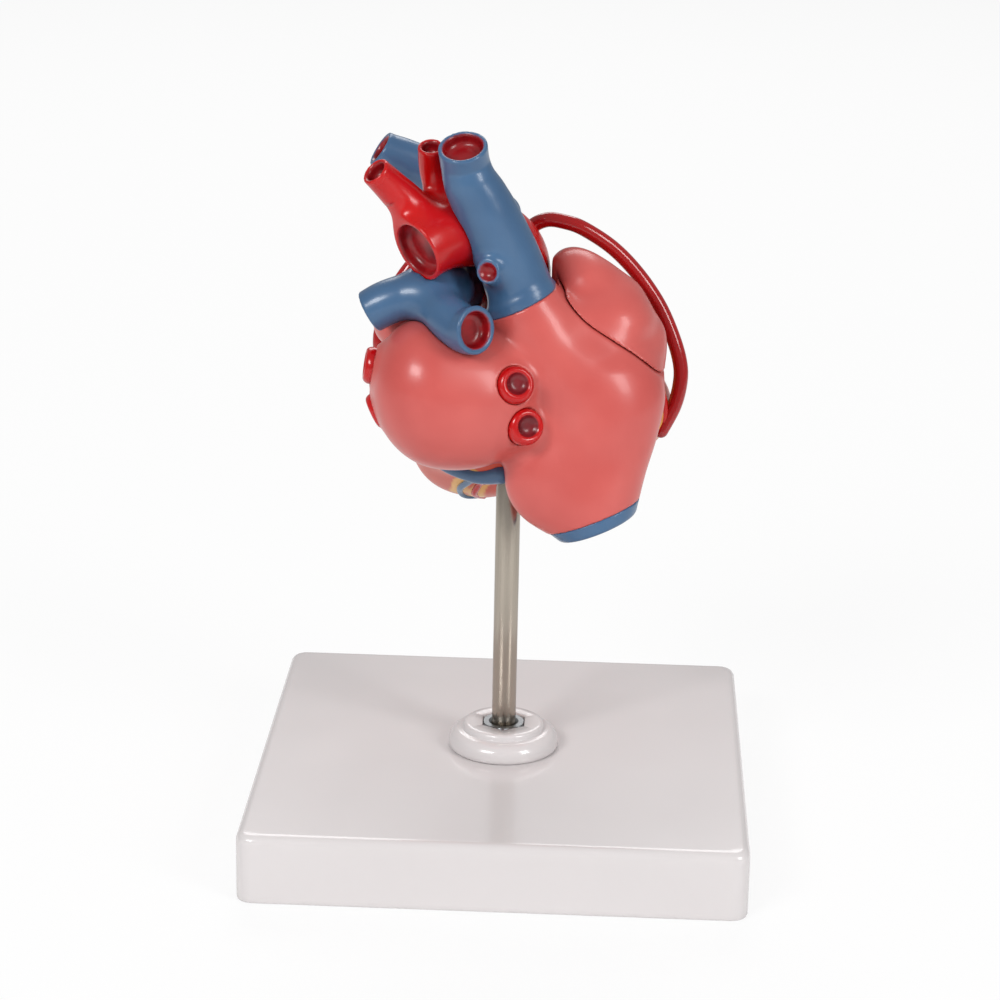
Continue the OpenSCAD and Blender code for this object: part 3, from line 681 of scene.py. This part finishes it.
# ---- The heart ----
@dataclass
class Shapes:
    """The heart's forms, in heart coordinates, shared by its pieces."""

    part_gap: float = 0.3
    atrium_wall: float = 2.6
    caval: Array = field(default_factory=lambda: unit([-21.5, 6, -50]))
    svc_d: float = 11.6
    ivc_d: float = 19.6
    ivc_ring_l: float = 3.2
    brachiocephalic_d: float = 10.0
    azygos_d: float = 5.0
    aorta_d: float = 15.4
    branch_d: float = 6.4
    trunk_d: float = 13.4
    pulmonary_d: float = 10.6
    vein_d: float = 8.6
    coronary_d: float = 2.4
    sinus_d: float = 4.0
    bypass_d: float = 3.65
    cava_lean: float = 27.0
    vein_wall: float = 1.9
    step_x: float = -9.0
    ledge_z: float = 28.0
    crack_y: float = -6.0
    parting_low: tuple[float, float] = (-52.0, -14.0)
    floor_z: float = -2.0
    rod_hole_r: float = 3.3
    rod_hole_z: float = 3.0
    ring_rim: float = 2.2
    seam: float = 0.05

    def __post_init__(self) -> None:
        """Works out the forms."""
        self.atrium_l = lobed([16, 9, 23], [
            [0, 0, -0.4, 15.3, 17, 17.7], [3.5, 1, 3, 12.6, 15.5, 15.5],
            [-7.5, 1.5, -1, 14.5, 13.5, 16.4]], 4)
        self.heart = lobed([0, -22, 12], [
            [10, -4, -1, 22, 25, 18], [-12, 2, 1, 27.4, 22, 17], [3, -3, 10, 16, 16, 18],
            [14, -15, -13, 13, 15, 15], [2, 14, -2, 15, 16, 13.5], [6, -10, -14, 12, 16, 13]], 6)
        self.auricle_r = lobed([-23.6, -9.5, 40.5], [
            [0, 0, 0, 8.8, 10, 8.6], [6, 0, 5.7, 7.6, 8.8, 7.2], [-6, 0, -8.5, 7.8, 9.2, 9],
            [10, -2.5, 9, 5, 6, 4.8], [0.6, 6.5, -2.5, 10.5, 10, 8.8]], 4)
        self.auricle_l = lobed([26, -8, 36], [[0, 0, 0, 8, 11, 7], [-1, -5, 1, 6, 9, 5.5]], 4)
        self.chamber_l = lobed([14, -27, 9], [
            [0, 0, 0, 10.5, 16, 11.5], [2, -5, -7, 8, 9, 9], [-7, 11, 14, 6, 6, 9]], 5)
        self.chamber_r = lobed([-17, -21, 12], [
            [0, 0, 0, 14.5, 15, 11.5], [11, -6, 9, 8.5, 9, 12]], 5)
        self.atrium_r = funnel([
            [-2.4, 4, 45.1, 8, 8], [-5.4, 3, 39.8, 10.4, 10], [-8.6, 1.5, 33.6, 12.6, 13],
            [-13.4, 0.5, 28.6, 15.4, 15], [-18.2, 0.5, 24, 17.4, 16], [-20.8, 2, 16, 17.9, 15.5],
            [-19.3, 5, 6.4, 18, 13.5], [-19.6, 8, -1.6, 14.8, 12], [-22.2, 10.1, -9.1, 9.7, 10.1]],
            self.caval)
        self.atrium_foot = lobed([-9, 9, 4], [[0, 0, 0, 9.6, 6.4, 11]], 0)
        self.svc = Vessel([
            [-5.2, 4, 39.1, 1.4], [-2.8, 4, 44.4, 1.38], [-0.9, 4.4, 50.3, 1.35],
            [2.1, 5.4, 57.5, 1.34], [6.1, 7.5, 66.2, 1.28], [8, 8.4, 70.4, 1.19],
            [10, 9.2, 74.3, 1.09], [11.2, 9.5, 78.4, 1], [11.8, 12, 83.2, 1]], self.svc_d / 2)
        self.azygos = Vessel([[1, 5.4, 54, 1.5], [4.1, 10.5, 53.9, 1.3], [5.4, 14.6, 54.2, 1.12]],
                             self.azygos_d / 2)
        self.brachiocephalic = Vessel([
            [3.4, -2.2, 64.4, 1], [11, -9, 67.6, 1.06], [17.3, -12, 70.3, 1.08], [22.7, -13, 72.8, 1.05],
            [27.6, -12.5, 75, 1], [30.8, -12, 76.2, 0.97], [32.9, -11.6, 77.6, 0.9]],
            self.brachiocephalic_d / 2)
        self.arch = Vessel([
            [2, -14, 33, 1], [-0.3, -15.5, 41, 1.03], [-0.6, -15, 49, 1.02], [1.6, -11, 55.2, 1],
            [6, -6, 58.4, 1], [10.4, 0.4, 60.3, 1], [15.6, 6.2, 60.6, 1], [19.4, 10, 59.7, 1],
            [22.2, 12.5, 58.3, 1.01]], self.aorta_d / 2)
        self.branches = [Vessel(s, self.branch_d / 2) for s in (
            [[19.8, 5, 61.2, 1.55], [24.1, 7.5, 67.8, 1.42], [28.4, 9.8, 72.8, 1.24],
             [32.1, 12.4, 77, 1.1]],
            [[13.2, 0, 59, 1.6], [15.6, -1, 65, 1.3], [17.9, -0.6, 70.4, 1.06],
             [19.6, 0.6, 75.6, 0.95], [19.7, 3.2, 81.3, 0.98]],
            [[3, -9, 57, 1.25], [7, -7, 66, 1.15], [10.4, -4, 73, 1.1], [12.4, -2, 77.4, 1.1]])]
        self.trunk = Vessel([
            [4, -29.5, 32, 1], [7.5, -27.5, 40, 1.02], [12.4, -18, 46.4, 0.98],
            [16.6, -6, 47.6, 0.92], [18, 4, 46.6, 0.85]], self.trunk_d / 2)
        self.pulmonary = [Vessel(s, self.pulmonary_d / 2) for s in (
            [[14, 2, 46.6, 0.9], [20.5, 6.5, 47.2, 1], [26.3, 7.6, 45.7, 1], [30.1, 8, 44.2, 1],
             [33.6, 8, 42.1, 0.98]],
            [[19.4, 5, 46.4, 0.9], [15, 14.4, 43.8, 1], [10.3, 19.2, 41.6, 1.04],
             [7.4, 22.2, 42.2, 1.08]])]
        self.veins = {
            "right_superior_vein": ([-2.2, 21, 29], [-0.25, 0.93, 0.3]),
            "right_inferior_vein": ([-5, 20, 18.3], [-0.4, 0.9, 0.15]),
            "left_superior_vein": ([35.2, 9.5, 29.6], [0.98, 0.1, 0.1]),
            "left_inferior_vein": ([33.4, 9, 17], [0.88, 0.1, -0.46])}
        self.crack = Vessel([
            [-8.2, 0, 54, 1], [-11.6, 0, 47.6, 1], [-17.4, 0, 41.4, 1], [-25, 0, 36.5, 1],
            [-32.2, 0, 31.4, 1], [-39, 0, 24.6, 1]], 1.0)
        self.crack_line = self.crack.at(np.linspace(0, self.crack.last, 29))[:, [0, 2]]
        self.cords = {
            "coronary_sinus": [[27, 9, 0], [19, 16, -10], [9, 23, -12], [1.5, 26, -9.5]],
            "middle_vein": [[8, 23, -12], [9.6, 12, -18], [12, 0, -21], [11, -6, -25], [6, -10, -27]],
            "posterior_artery": [[6.5, 18, -16], [7.6, 8, -19], [8.6, 0, -22], [7, -8, -26]],
            "right_coronary_artery": [[-8, -3, 24], [-16, 1, 21], [-26, 5, 12], [-29.6, 7.2, 5],
                                      [-31, 8, -1.5]],
            "anterior_artery": [[13, -14, 17], [14, -20, 12], [15, -27, 3], [14, -32, -7],
                                [10, -34, -15]],
            "circumflex_artery": [[15, -12, 17], [24, -9, 13], [29, -6, 8], [30, -6, 2]],
            "cardiac_vein": [[19, -12, 17], [19, -19, 11], [20, -26, 2], [19, -30, -8]]}

    def skin_point(self, direction: Sequence[float], lift: float = 0.0) -> Array:
        """Where a ray from the heart's middle leaves the heart, in heart coordinates."""
        d = unit(direction)
        t = np.linspace(4, 60, 1400)
        inside = self.heart(seat([0, -22, 12]) + t[:, None] * d) < 0
        return np.array([0, -22, 12]) + d * (t[inside].max() + lift)

    def cord(self, name: str, diameter: float, start: float = 1.05, end: float = 0.8) -> Vessel:
        """A vessel that lies half sunk in the heart's surface, from one share of its width on."""
        points = [self.skin_point(d) for d in self.cords[name]]
        shares = np.interp(np.arange(len(points)), [0, len(points) - 1], [start, end])
        return Vessel([[*p, s] for p, s in zip(points, shares)], diameter / 2)

    def front_side(self, p: Array) -> Array:
        """Distance to the space in front of the parting, in the frame of the stand."""
        x, y, z = p[:, 0], p[:, 1], p[:, 2] - HEART_Z

        def under(y0: float, z0: float) -> Array:
            """Distance below the line from (y0, z0) to the parting's lowest place."""
            along = unit([self.parting_low[0] - y0, self.parting_low[1] - z0])
            return (y - y0) * -along[1] + (z - z0) * along[0]

        right = np.maximum(np.maximum(y - self.crack_y, under(self.crack_y, 5)), x - self.step_x)
        left = np.maximum(under(-14, self.ledge_z), z - self.ledge_z)
        top = below_line(p[:, [0, 2]], self.crack_line)
        return np.minimum(np.minimum(right, left), np.maximum(top, x - self.step_x))

    def rear_side(self, p: Array) -> Array:
        """Distance to the space behind the parting, with the gap between the halves."""
        return self.part_gap - self.front_side(p)


@dataclass
class Heart:
    """The rear half with the atria and the great vessels, and the front wall."""

    shapes: Shapes
    palette: Palette

    def piece(self, name: str, form: Form, body: Body, slot: Slot, finish: bpy.types.Material,
              nodes: Sequence[str] = (), step: float = 0.5,
              masks: dict[str, Field] | None = None) -> bpy.types.Object:
        """Builds one casting, dresses it and puts it in the place of its nodes.

        Args:
            name: the piece's name.
            form: its solid.
            body: the body that it rides on.
            slot: its material slot in the record; not used.
            finish: its material.
            nodes: the nodes that it stands for, or none for the one of its own name.
            step: the net's step in millimetres.
            masks: for each painted layer, its amount at points in millimetres.

        Returns:
            The object.
        """
        step *= 1.0
        points, quads = surface_net(form, step)
        made = new_object(name, points, quads)
        for layer in ("lumen", "patch", "inner"):
            mask = (masks or {}).get(layer)
            paint(made, layer, mask(points) if mask else np.zeros(len(points)))
        made.data.materials.append(finish)
        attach(made, body.value)
        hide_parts(*(nodes or (name,)))
        LOG.info("%s: %d quads", name, len(quads))
        return made

    @staticmethod
    def lumen(mouths: Sequence[Mouth]) -> Field:
        """The mask of the maroon hollows of some mouths."""
        return lambda p: np.max([smooth_step(-m.hollow(p), -0.42, -0.18) for m in mouths], axis=0)

    def build(self) -> None:
        """Builds every piece of the heart."""
        self.great_vessels()
        self.atria()
        self.ventricles()
        self.surface_vessels()
        self.bypasses()

    def great_vessels(self) -> None:
        """The aorta, the pulmonary arteries, the brachiocephalic vein and the vein rings."""
        s = self.shapes
        aorta = s.arch.form()
        for v in s.branches:
            aorta = aorta.join(v.form(), 5)
        mouths = [s.arch.mouth(), *[v.mouth(wall=1.05) for v in s.branches],
                  s.arch.mouth(False, depth=6)]
        aorta = opened(aorta, mouths)
        self.aorta = aorta
        self.piece("aorta", aorta, Body.HEART, Slot.RED, self.palette.red, step=0.42,
                   masks={"lumen": self.lumen(mouths)})
        lungs = s.trunk.form()
        for v in s.pulmonary:
            lungs = lungs.join(v.form(), 5)
        mouths = [v.mouth(wall=1.5) for v in s.pulmonary] + [s.trunk.mouth(False, depth=6)]
        lungs = opened(lungs, mouths)
        self.lungs = lungs
        self.piece("pulmonary_arteries", lungs.cut(aorta, 0.3, s.seam), Body.HEART, Slot.BLUE,
                   self.palette.blue, step=0.42, masks={"lumen": self.lumen(mouths)})
        mouth = s.brachiocephalic.mouth()
        vein = opened(s.brachiocephalic.form(), [mouth]).cut(aorta, 0.3, s.seam)
        self.piece("left_brachiocephalic_vein", vein, Body.HEART, Slot.BLUE, self.palette.blue,
                   step=0.42, masks={"lumen": self.lumen([mouth])})
        self.rings, self.lips = [], []
        shift = np.array([-0.35, 0, 0.35])
        for name, (centre, out) in s.veins.items():
            d, c = unit(out), np.array(centre)
            mouth = Mouth(seat(c + shift), d, s.vein_d / 2, wall=s.vein_wall, depth=1.9)
            ring = Vessel([[*(c - 7 * d), 1.0], [*(c - 3 * d), 1.05], [*(c + 3 * d), 0.98]],
                          s.vein_d / 2).form()
            self.rings.append(ring)
            self.lips.append(Vessel([[*(c - 8 * d), 1.3], [*(c - 6.2 * d), 1.22]],
                                    s.vein_d / 2).form())

            def past(p: Array, m: Mouth = mouth) -> Array:
                """What lies past the ring's rim."""
                return -m.beyond(p)
            ring = ring.cut(past, s.ring_rim).cut(mouth.hollow, 1.6)
            self.piece(name, ring, Body.HEART, Slot.RED, self.palette.ring, step=0.28,
                       masks={"lumen": self.lumen([mouth])})

    def atria(self) -> None:
        """Both atria as one casting, the vena cava above them and the end ring below."""
        s = self.shapes
        cava = s.svc.form().join(s.azygos.form(), 3)
        mouths = [s.svc.mouth(wall=1.2), s.azygos.mouth(wall=0.85, depth=1.3)]
        cava = opened(cava, mouths)
        self.body_r = s.atrium_r.join(s.atrium_foot, 7).join(s.auricle_r, 7)
        body_l = s.atrium_l
        for lip in self.lips:
            body_l = body_l.join(lip, 3)
        whole = body_l.join(self.body_r.join(cava, 4), 5)
        tilt = np.radians(s.cava_lean)
        up = np.array([np.sin(tilt), 0, np.cos(tilt)])
        split = seat([-3.4, 4, 45.2])

        def caval_paint(p: Array) -> Array:
            """Distance to the space above the paint line, within reach of the vena cava."""
            return np.maximum((split - p) @ up, cava(p) - 4)
        vein = whole.keep(caval_paint).keep(s.rear_side, 0.3).cut(self.aorta, 0.3, s.seam)
        self.piece("superior_vena_cava", vein, Body.HEART, Slot.BLUE, self.palette.blue, step=0.42,
                   masks={"lumen": self.lumen(mouths)})
        end = seat([-22.2, 10.1, -9.1])

        def past_ring(p: Array) -> Array:
            """Distance past the plane where the end ring starts."""
            return (p - end) @ s.caval + s.ivc_ring_l
        floor = HEART_Z + s.floor_z
        atria = whole.cut(caval_paint).keep(past_ring)
        atria = atria.cut(lambda p: np.maximum(s.atrium_r(p) + s.atrium_wall, floor - p[:, 2]), 0.6)
        atria = atria.cut(lambda p: s.atrium_l(p) + s.atrium_wall)
        atria = atria.keep(s.rear_side, 0.3).cut(self.aorta, 0.4, s.seam).cut(self.lungs, 0.4, s.seam)
        for ring in self.rings:
            atria = atria.cut(ring, 0.4, s.seam)
        self.piece("atria", atria, Body.HEART, Slot.ATRIUM, self.palette.pink,
                   ["left_atrium", "right_atrium"], step=0.5)
        ring = Form(s.atrium_r.field, end - 14, end + 14)
        mouth = Mouth(end, s.caval, s.ivc_d / 2, wall=1.6, depth=1.8)
        ring = ring.cut(past_ring).cut(mouth.hollow, 0.8)
        self.piece("inferior_vena_cava", ring, Body.HEART, Slot.BLUE, self.palette.blue, step=0.35,
                   masks={"lumen": self.lumen([mouth])})

    def fat(self, names: Sequence[str], reach: float) -> Field:
        """The mask of the yellow fat beside some vessels on the heart's surface."""
        cords = [self.shapes.cord(n, 0.01) for n in names]

        def amount(p: Array) -> Array:
            """1 beside the vessels, with a wavy edge."""
            d = np.min([c.distance(p) for c in cords], axis=0)
            wave = 0.9 * np.sin(p[:, 0] * 0.9 + p[:, 2] * 0.5) + 0.6 * np.sin(p[:, 1] * 1.3 - p[:, 2])
            return smooth_step(reach + wave - d, 0, 0.8)
        return amount

    def ventricles(self) -> None:
        """The rear of the ventricles, the front wall and both auricles."""
        s = self.shapes
        chambers = s.chamber_l.join(s.chamber_r)

        def inner(p: Array) -> Array:
            """The mask of the chambers' lining."""
            return smooth_step(-chambers(p), -0.5, -0.2)
        rear = s.heart.keep(s.rear_side, 0.4).cut(chambers, 0.5)
        for other in (s.atrium_l, s.atrium_r, self.aorta, self.lungs):
            rear = rear.cut(other, 0.0, s.seam)
        top = HEART_Z + s.rod_hole_z
        rear = rear.cut(lambda p: np.maximum(np.hypot(p[:, 0], p[:, 1]) - s.rod_hole_r, p[:, 2] - top), 0.3)
        self.piece("ventricles_rear", rear, Body.HEART, Slot.MUSCLE, self.palette.muscle, step=0.55,
                   masks={"inner": inner, "patch": self.fat(["middle_vein", "posterior_artery"], 2.6)})
        front = s.heart.keep(s.front_side, 0.4).cut(chambers, 0.5)
        for other in (self.aorta, self.lungs):
            front = front.cut(other, 0.0, s.part_gap)
        self.piece("front_wall", front, Body.FRONT, Slot.MUSCLE, self.palette.muscle, step=0.55,
                   masks={"inner": inner, "patch": self.fat(
                       ["right_coronary_artery", "anterior_artery", "circumflex_artery"], 3.4)})
        auricle = self.body_r.keep(s.front_side, 0.4)
        auricle = auricle.cut(s.heart, 0.3, s.seam).cut(self.aorta, 0.4, s.part_gap)
        auricle = auricle.cut(s.svc.form(), 0.4, s.part_gap)
        auricle = auricle.cut(lambda p: s.atrium_r(p) + s.atrium_wall, 0.5)
        self.piece("right_auricle", auricle, Body.FRONT, Slot.ATRIUM, self.palette.pink, step=0.45)
        left = s.auricle_l
        for other in (s.atrium_l, s.heart, self.lungs):
            left = left.cut(other, 0.3, s.seam)
        self.piece("left_auricle", left, Body.HEART, Slot.ATRIUM, self.palette.pink, step=0.45)

    def surface_vessels(self) -> None:
        """The vessels on the heart's surface."""
        s, p = self.shapes, self.palette
        sinus = s.cord("coronary_sinus", s.sinus_d, 0.5, 1.3).form()
        sinus = sinus.join(s.cord("middle_vein", s.coronary_d, 0.8, 0.6).form(), 1.5)
        sinus = sinus.cut(s.atrium_r, 0.2, s.seam)
        self.piece("coronary_sinus", sinus, Body.HEART, Slot.BLUE, p.blue, step=0.3)
        rear = s.cord("posterior_artery", s.coronary_d, 0.85, 0.6).form()
        self.piece("posterior_artery", rear, Body.HEART, Slot.RED, p.red, step=0.25)
        for name in ("right_coronary_artery", "anterior_artery", "circumflex_artery", "cardiac_vein"):
            blue = name == "cardiac_vein"
            form = s.cord(name, s.coronary_d).form().keep(s.front_side, 0.2)
            self.piece(name, form, Body.FRONT, Slot.BLUE if blue else Slot.RED,
                       p.blue if blue else p.red, step=0.25)

    def bypasses(self) -> None:
        """The three flexible tubes from the aorta to the heart's surface."""
        s = self.shapes
        ends = {"right": [-31, 8, -2.6], "anterior": [14, -27, 3], "circumflex": [30, -6.3, 1.2]}
        routes = {
            "right": [[-0.5, -16.5, 53], [-3.4, -19.5, 57.4], [-7.3, -19.5, 59.5],
                      [-11.7, -19.5, 59.1], [-16.4, -19.5, 57.5], [-23.6, -20, 52.8],
                      [-29.9, -20, 46.5], [-35.3, -19.5, 39], [-39, -18, 31.4], [-41, -17, 25.1],
                      [-41.2, -16, 20.3], [-39.9, -14.6, 14.7]],
            "anterior": [[-2.8, -20.5, 49], [-4, -31, 50.6], [-2, -40, 47.6], [4, -46.4, 40],
                         [9, -50.6, 30], [12, -52, 22]],
            "circumflex": [[1.2, -16.5, 53.4], [4.4, -29, 58], [13, -35, 56], [22, -34, 49],
                           [29.4, -31.4, 40], [33.4, -29.6, 30], [34, -28.6, 23]]}
        for name, route in routes.items():
            points = [*route, s.skin_point(ends[name])]
            tube = Vessel([[*q, 1] for q in points], s.bypass_d / 2).form()
            tube = tube.cut(self.aorta, 0.2, s.part_gap).cut(self.lungs, 0.2, s.part_gap)
            self.piece(f"bypass_{name}", tube, Body.FRONT, Slot.BYPASS, self.palette.bypass, step=0.3)


@dataclass
class Stand:
    """The base plate, the collar, the rod and its nut."""

    palette: Palette
    base_w: float = 120.0
    base_h: float = 17.0
    corner_r: float = 4.0
    edge_r: float = 2.0
    pocket_d: float = 16.0
    pocket_h: float = 8.0
    rod_d: float = 6.0
    points_round: int = 384

    def dress(self, name: str, made: bpy.types.Object, body: Body,
              finish: bpy.types.Material) -> None:
        """Gives a piece its finish and body, and hides its node."""
        made.data.materials.append(finish)
        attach(made, body.value)
        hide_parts(name)
        LOG.info("%s: %d faces", name, len(made.data.polygons))

    def square(self, half: float, r: float) -> Array:
        """Radii of a square with rounded corners, seen from its middle.

        The corner's arc is met where |p - c| = r, with c the arc's middle.
        """
        a = np.linspace(0, 2 * np.pi, self.points_round, endpoint=False)
        b = np.abs((a + np.pi / 4) % (np.pi / 2) - np.pi / 4)
        flat = half / np.cos(b)
        c = (half - r) * np.sqrt(2)
        off = np.pi / 4 - b
        arc = c * np.cos(off) + np.sqrt(np.maximum(r * r - (c * np.sin(off)) ** 2, 0))
        return np.where(half * np.tan(b) > half - r, arc, flat)

    def round(self, r: float) -> Array:
        """Radii of a circle."""
        return np.full(self.points_round, r)

    def hexagon(self, flats: float, r_max: float = 1e3) -> Array:
        """Radii of a hexagon with a width across its flats, no more than r_max."""
        a = np.linspace(0, 2 * np.pi, self.points_round, endpoint=False)
        b = (a + np.pi / 6) % (np.pi / 3) - np.pi / 6
        return np.minimum(flats / 2 / np.cos(b), r_max)

    def base_plate(self) -> None:
        """The plate: its outline goes up over the rounded edge, across the top and down the bore."""
        half, r, top = self.base_w / 2, self.edge_r, self.base_h
        bore, pocket = self.rod_d / 2 + 0.05, self.pocket_d / 2
        rings = [(self.square(half - 0.5, self.corner_r - 0.5), 0.0),
                 (self.square(half - 0.15, self.corner_r - 0.15), 0.15),
                 (self.square(half, self.corner_r), 0.5), (self.square(half, self.corner_r), 1.5),
                 (self.square(half, self.corner_r), top - r - 1)]
        for a in np.radians(np.linspace(0, 90, 9)):
            inset = r * (1 - np.cos(a))
            rings.append((self.square(half - inset, self.corner_r - inset), top - r + r * np.sin(a)))
        rings += [(self.square(half - r - 0.6, self.corner_r), top), (self.round(14.5), top),
                  (self.round(bore + 0.6), top), (self.round(bore), top), (self.round(bore), top - 0.4),
                  (self.round(bore), self.pocket_h + 0.3), (self.round(bore), self.pocket_h),
                  (self.round(pocket - 0.3), self.pocket_h), (self.round(pocket), self.pocket_h - 0.3),
                  (self.round(pocket), 0.3), (self.round(pocket + 0.3), 0.0),
                  (self.square(half - 4, self.corner_r), 0.0)]
        self.dress("base_plate", new_object("base_plate_moulding", *lathe(rings)), Body.STAND,
                   self.palette.white)

    def collar(self) -> None:
        """The round moulding: a foot that swells and closes in to a ring with the nut's pocket."""
        z, foot, top, height = self.base_h, 13.7, 10.0, 6.4
        ring_h, pocket, floor = height - 1.6, 5.97, height - 3.2
        profile = [(3.05, 0), (foot - 0.8, 0), (foot - 0.25, 0.2), (foot, 0.7), (foot, 1.4)]
        for a in np.radians(np.arange(12, 88, 6)):
            profile.append((top + 0.5 + (foot - top - 0.5) * np.cos(a),
                            1.4 + (ring_h - 1.4) * np.sin(a)))
        profile += [(top + 0.15, ring_h), (top, ring_h + 0.2), (top, height - 0.7),
                    (top - 0.18, height - 0.25), (top - 0.6, height), (top - 1.2, height)]
        rings = [(self.round(r), z + h) for r, h in profile]
        flats = 10.35
        rings += [(self.hexagon(flats + 0.5), z + height), (self.hexagon(flats), z + height - 0.25),
                  (self.hexagon(flats), z + floor), (self.round(3.4), z + floor),
                  (self.round(3.05), z + floor)]
        self.dress("rod_collar", new_object("collar_moulding", *lathe(rings)), Body.STAND,
                   self.palette.white)

    def nut(self) -> None:
        """The hexagon nut in the collar, with its bevelled crown."""
        z, h, flats, crown = self.base_h + 3.2, 3.2, 10.0, 5.05
        bore = 3.05
        rings = [(self.round(bore), z), (self.hexagon(flats, crown), z),
                 (self.hexagon(flats), z + 0.5), (self.hexagon(flats), z + h - 0.5),
                 (self.hexagon(flats, crown), z + h), (self.round(bore + 0.7), z + h),
                 (self.round(bore + 0.25), z + h - 0.35), (self.round(bore), z + h - 0.6)]
        made = new_object("rod_nut", *lathe(rings))
        made.data.polygons.foreach_set("use_smooth", np.zeros(len(made.data.polygons), bool))
        self.dress("lock_nut", made, Body.STAND, self.palette.zinc)

    def rod(self) -> None:
        """The rod with its bevelled tip."""
        low, high = (v.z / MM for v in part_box("rod"))
        r = self.rod_d / 2
        rings = [(self.round(0.01), low), (self.round(r - 0.4), low), (self.round(r), low + 0.4),
                 (self.round(r), high - 1), (self.round(r - 0.8), high), (self.round(0.01), high)]
        self.dress("rod", new_object("brushed_rod", *lathe(rings)), Body.ROD,
                   self.palette.rod)

    def build(self) -> None:
        """Builds the stand's pieces."""
        self.base_plate()
        self.collar()
        self.nut()
        self.rod()


@dataclass
class Studio:
    """The floor, the lamps and the camera."""

    focal_px: float = 2790.67
    azimuth: float = 182.07
    elevation: float = 18.25
    roll: float = 1.20
    distance: float = 0.68252
    target_z: float = 0.08174
    shift_px: float = 8.29

    def camera(self) -> None:
        """A camera at the photograph's viewing angle."""
        a, e, t = np.radians([self.azimuth, self.elevation, self.roll])
        back = np.array([np.sin(a) * np.cos(e), -np.cos(a) * np.cos(e), np.sin(e)])
        right = unit(np.cross(-back, [0, 0, 1]))
        up = np.cross(back, right)
        x, y = right * np.cos(t) + up * np.sin(t), up * np.cos(t) - right * np.sin(t)
        data = bpy.data.cameras.new("photo_camera")
        data.sensor_fit = "HORIZONTAL"
        data.sensor_width = 36.0
        data.lens = data.sensor_width * self.focal_px / PHOTO_SIZE
        data.shift_x = -self.shift_px / PHOTO_SIZE
        made = bpy.data.objects.new("photo_camera", data)
        place = np.eye(4)
        place[:3, 0], place[:3, 1], place[:3, 2] = x, y, back
        place[:3, 3] = np.array([0, 0, self.target_z]) + back * self.distance
        made.matrix_world = Matrix(place.tolist())
        bpy.context.scene.collection.objects.link(made)
        bpy.context.scene.camera = made

    def lamp(self, name: str, place: Sequence[float], size: tuple[float, float], power: float) -> None:
        """A softbox that faces the heart."""
        data = bpy.data.lights.new(name, "AREA")
        data.shape = "RECTANGLE"
        data.size, data.size_y = size
        data.energy = power
        made = bpy.data.objects.new(name, data)
        made.location = place
        aim = np.array([0, 0, 0.11]) - np.array(place)
        made.rotation_euler = Vector(aim).to_track_quat("-Z", "Y").to_euler()
        bpy.context.scene.collection.objects.link(made)

    def world(self) -> None:
        """An even grey light, seen as white by the camera."""
        world = bpy.data.worlds.new("studio_world")
        bpy.context.scene.world = world
        world.use_nodes = True
        tree = world.node_tree
        shade = tree.nodes["Background"]
        shade.inputs["Color"].default_value = (1, 1, 1, 1)
        path = tree.nodes.new("ShaderNodeLightPath")
        rays = Expr(tree, path.outputs["Is Camera Ray"])
        strength = rays * 0.64 + 0.36
        tree.links.new(strength.socket, shade.inputs["Strength"])

    def floor(self) -> None:
        """A pale floor that keeps the object's shadow."""
        half = 1500.0
        points = np.array([[-half, -half, 0], [half, -half, 0], [half, half, 0], [-half, half, 0]])
        made = new_object("floor", points, [[0, 1, 2, 3]])
        p = Paints("floor_paint")
        rays = Expr(p.tree, p.node("ShaderNodeLightPath").outputs["Is Camera Ray"])
        p.finish((0.9, 0.9, 0.9, 1), 0.6)
        glow = p.node("ShaderNodeEmission", Color=(1, 1, 1, 1), Strength=1.0)
        mixed = p.node("ShaderNodeMixShader")
        p.tree.links.new((rays * 0.86).socket, mixed.inputs[0])
        p.tree.links.new(p.shader.outputs[0], mixed.inputs[1])
        p.tree.links.new(glow.outputs[0], mixed.inputs[2])
        p.tree.links.new(mixed.outputs[0], p.tree.nodes["Material Output"].inputs["Surface"])
        made.data.materials.append(p.material)

    def build(self) -> None:
        """Sets the studio up."""
        bpy.context.scene.view_settings.view_transform = "Standard"
        self.camera()
        self.world()
        self.floor()
        self.lamp("key_softbox", (0.75, 1.05, 0.95), (0.6, 0.4), 12.0)
        self.lamp("fill_softbox", (-0.95, 0.75, 0.75), (0.4, 0.7), 8.0)
        self.lamp("front_softbox", (0.1, -1.2, 1.1), (1.0, 0.8), 8.0)


def main() -> None:
    """Builds the model around its frame."""
    logging.basicConfig(level=logging.INFO, format="%(name)s %(message)s")
    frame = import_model()
    palette = Palette()
    Studio().build()
    Stand(palette).build()
    Heart(Shapes(), palette).build()
    steel = ("clamp_washer", "clamp_nut", "rod_socket", "locating_pegs")
    valves = ("mitral_valve", "tricuspid_valve", "aortic_valve", "pulmonary_valve")
    muscles = ("left_papillary_muscles", "right_papillary_muscles")
    for names, finish in ((steel, palette.zinc), (valves, palette.valve), (muscles, palette.muscle)):
        for name in names:
            frame["nodes"][name].data.materials.clear()
            frame["nodes"][name].data.materials.append(finish)


if __name__ == "__main__":
    main()
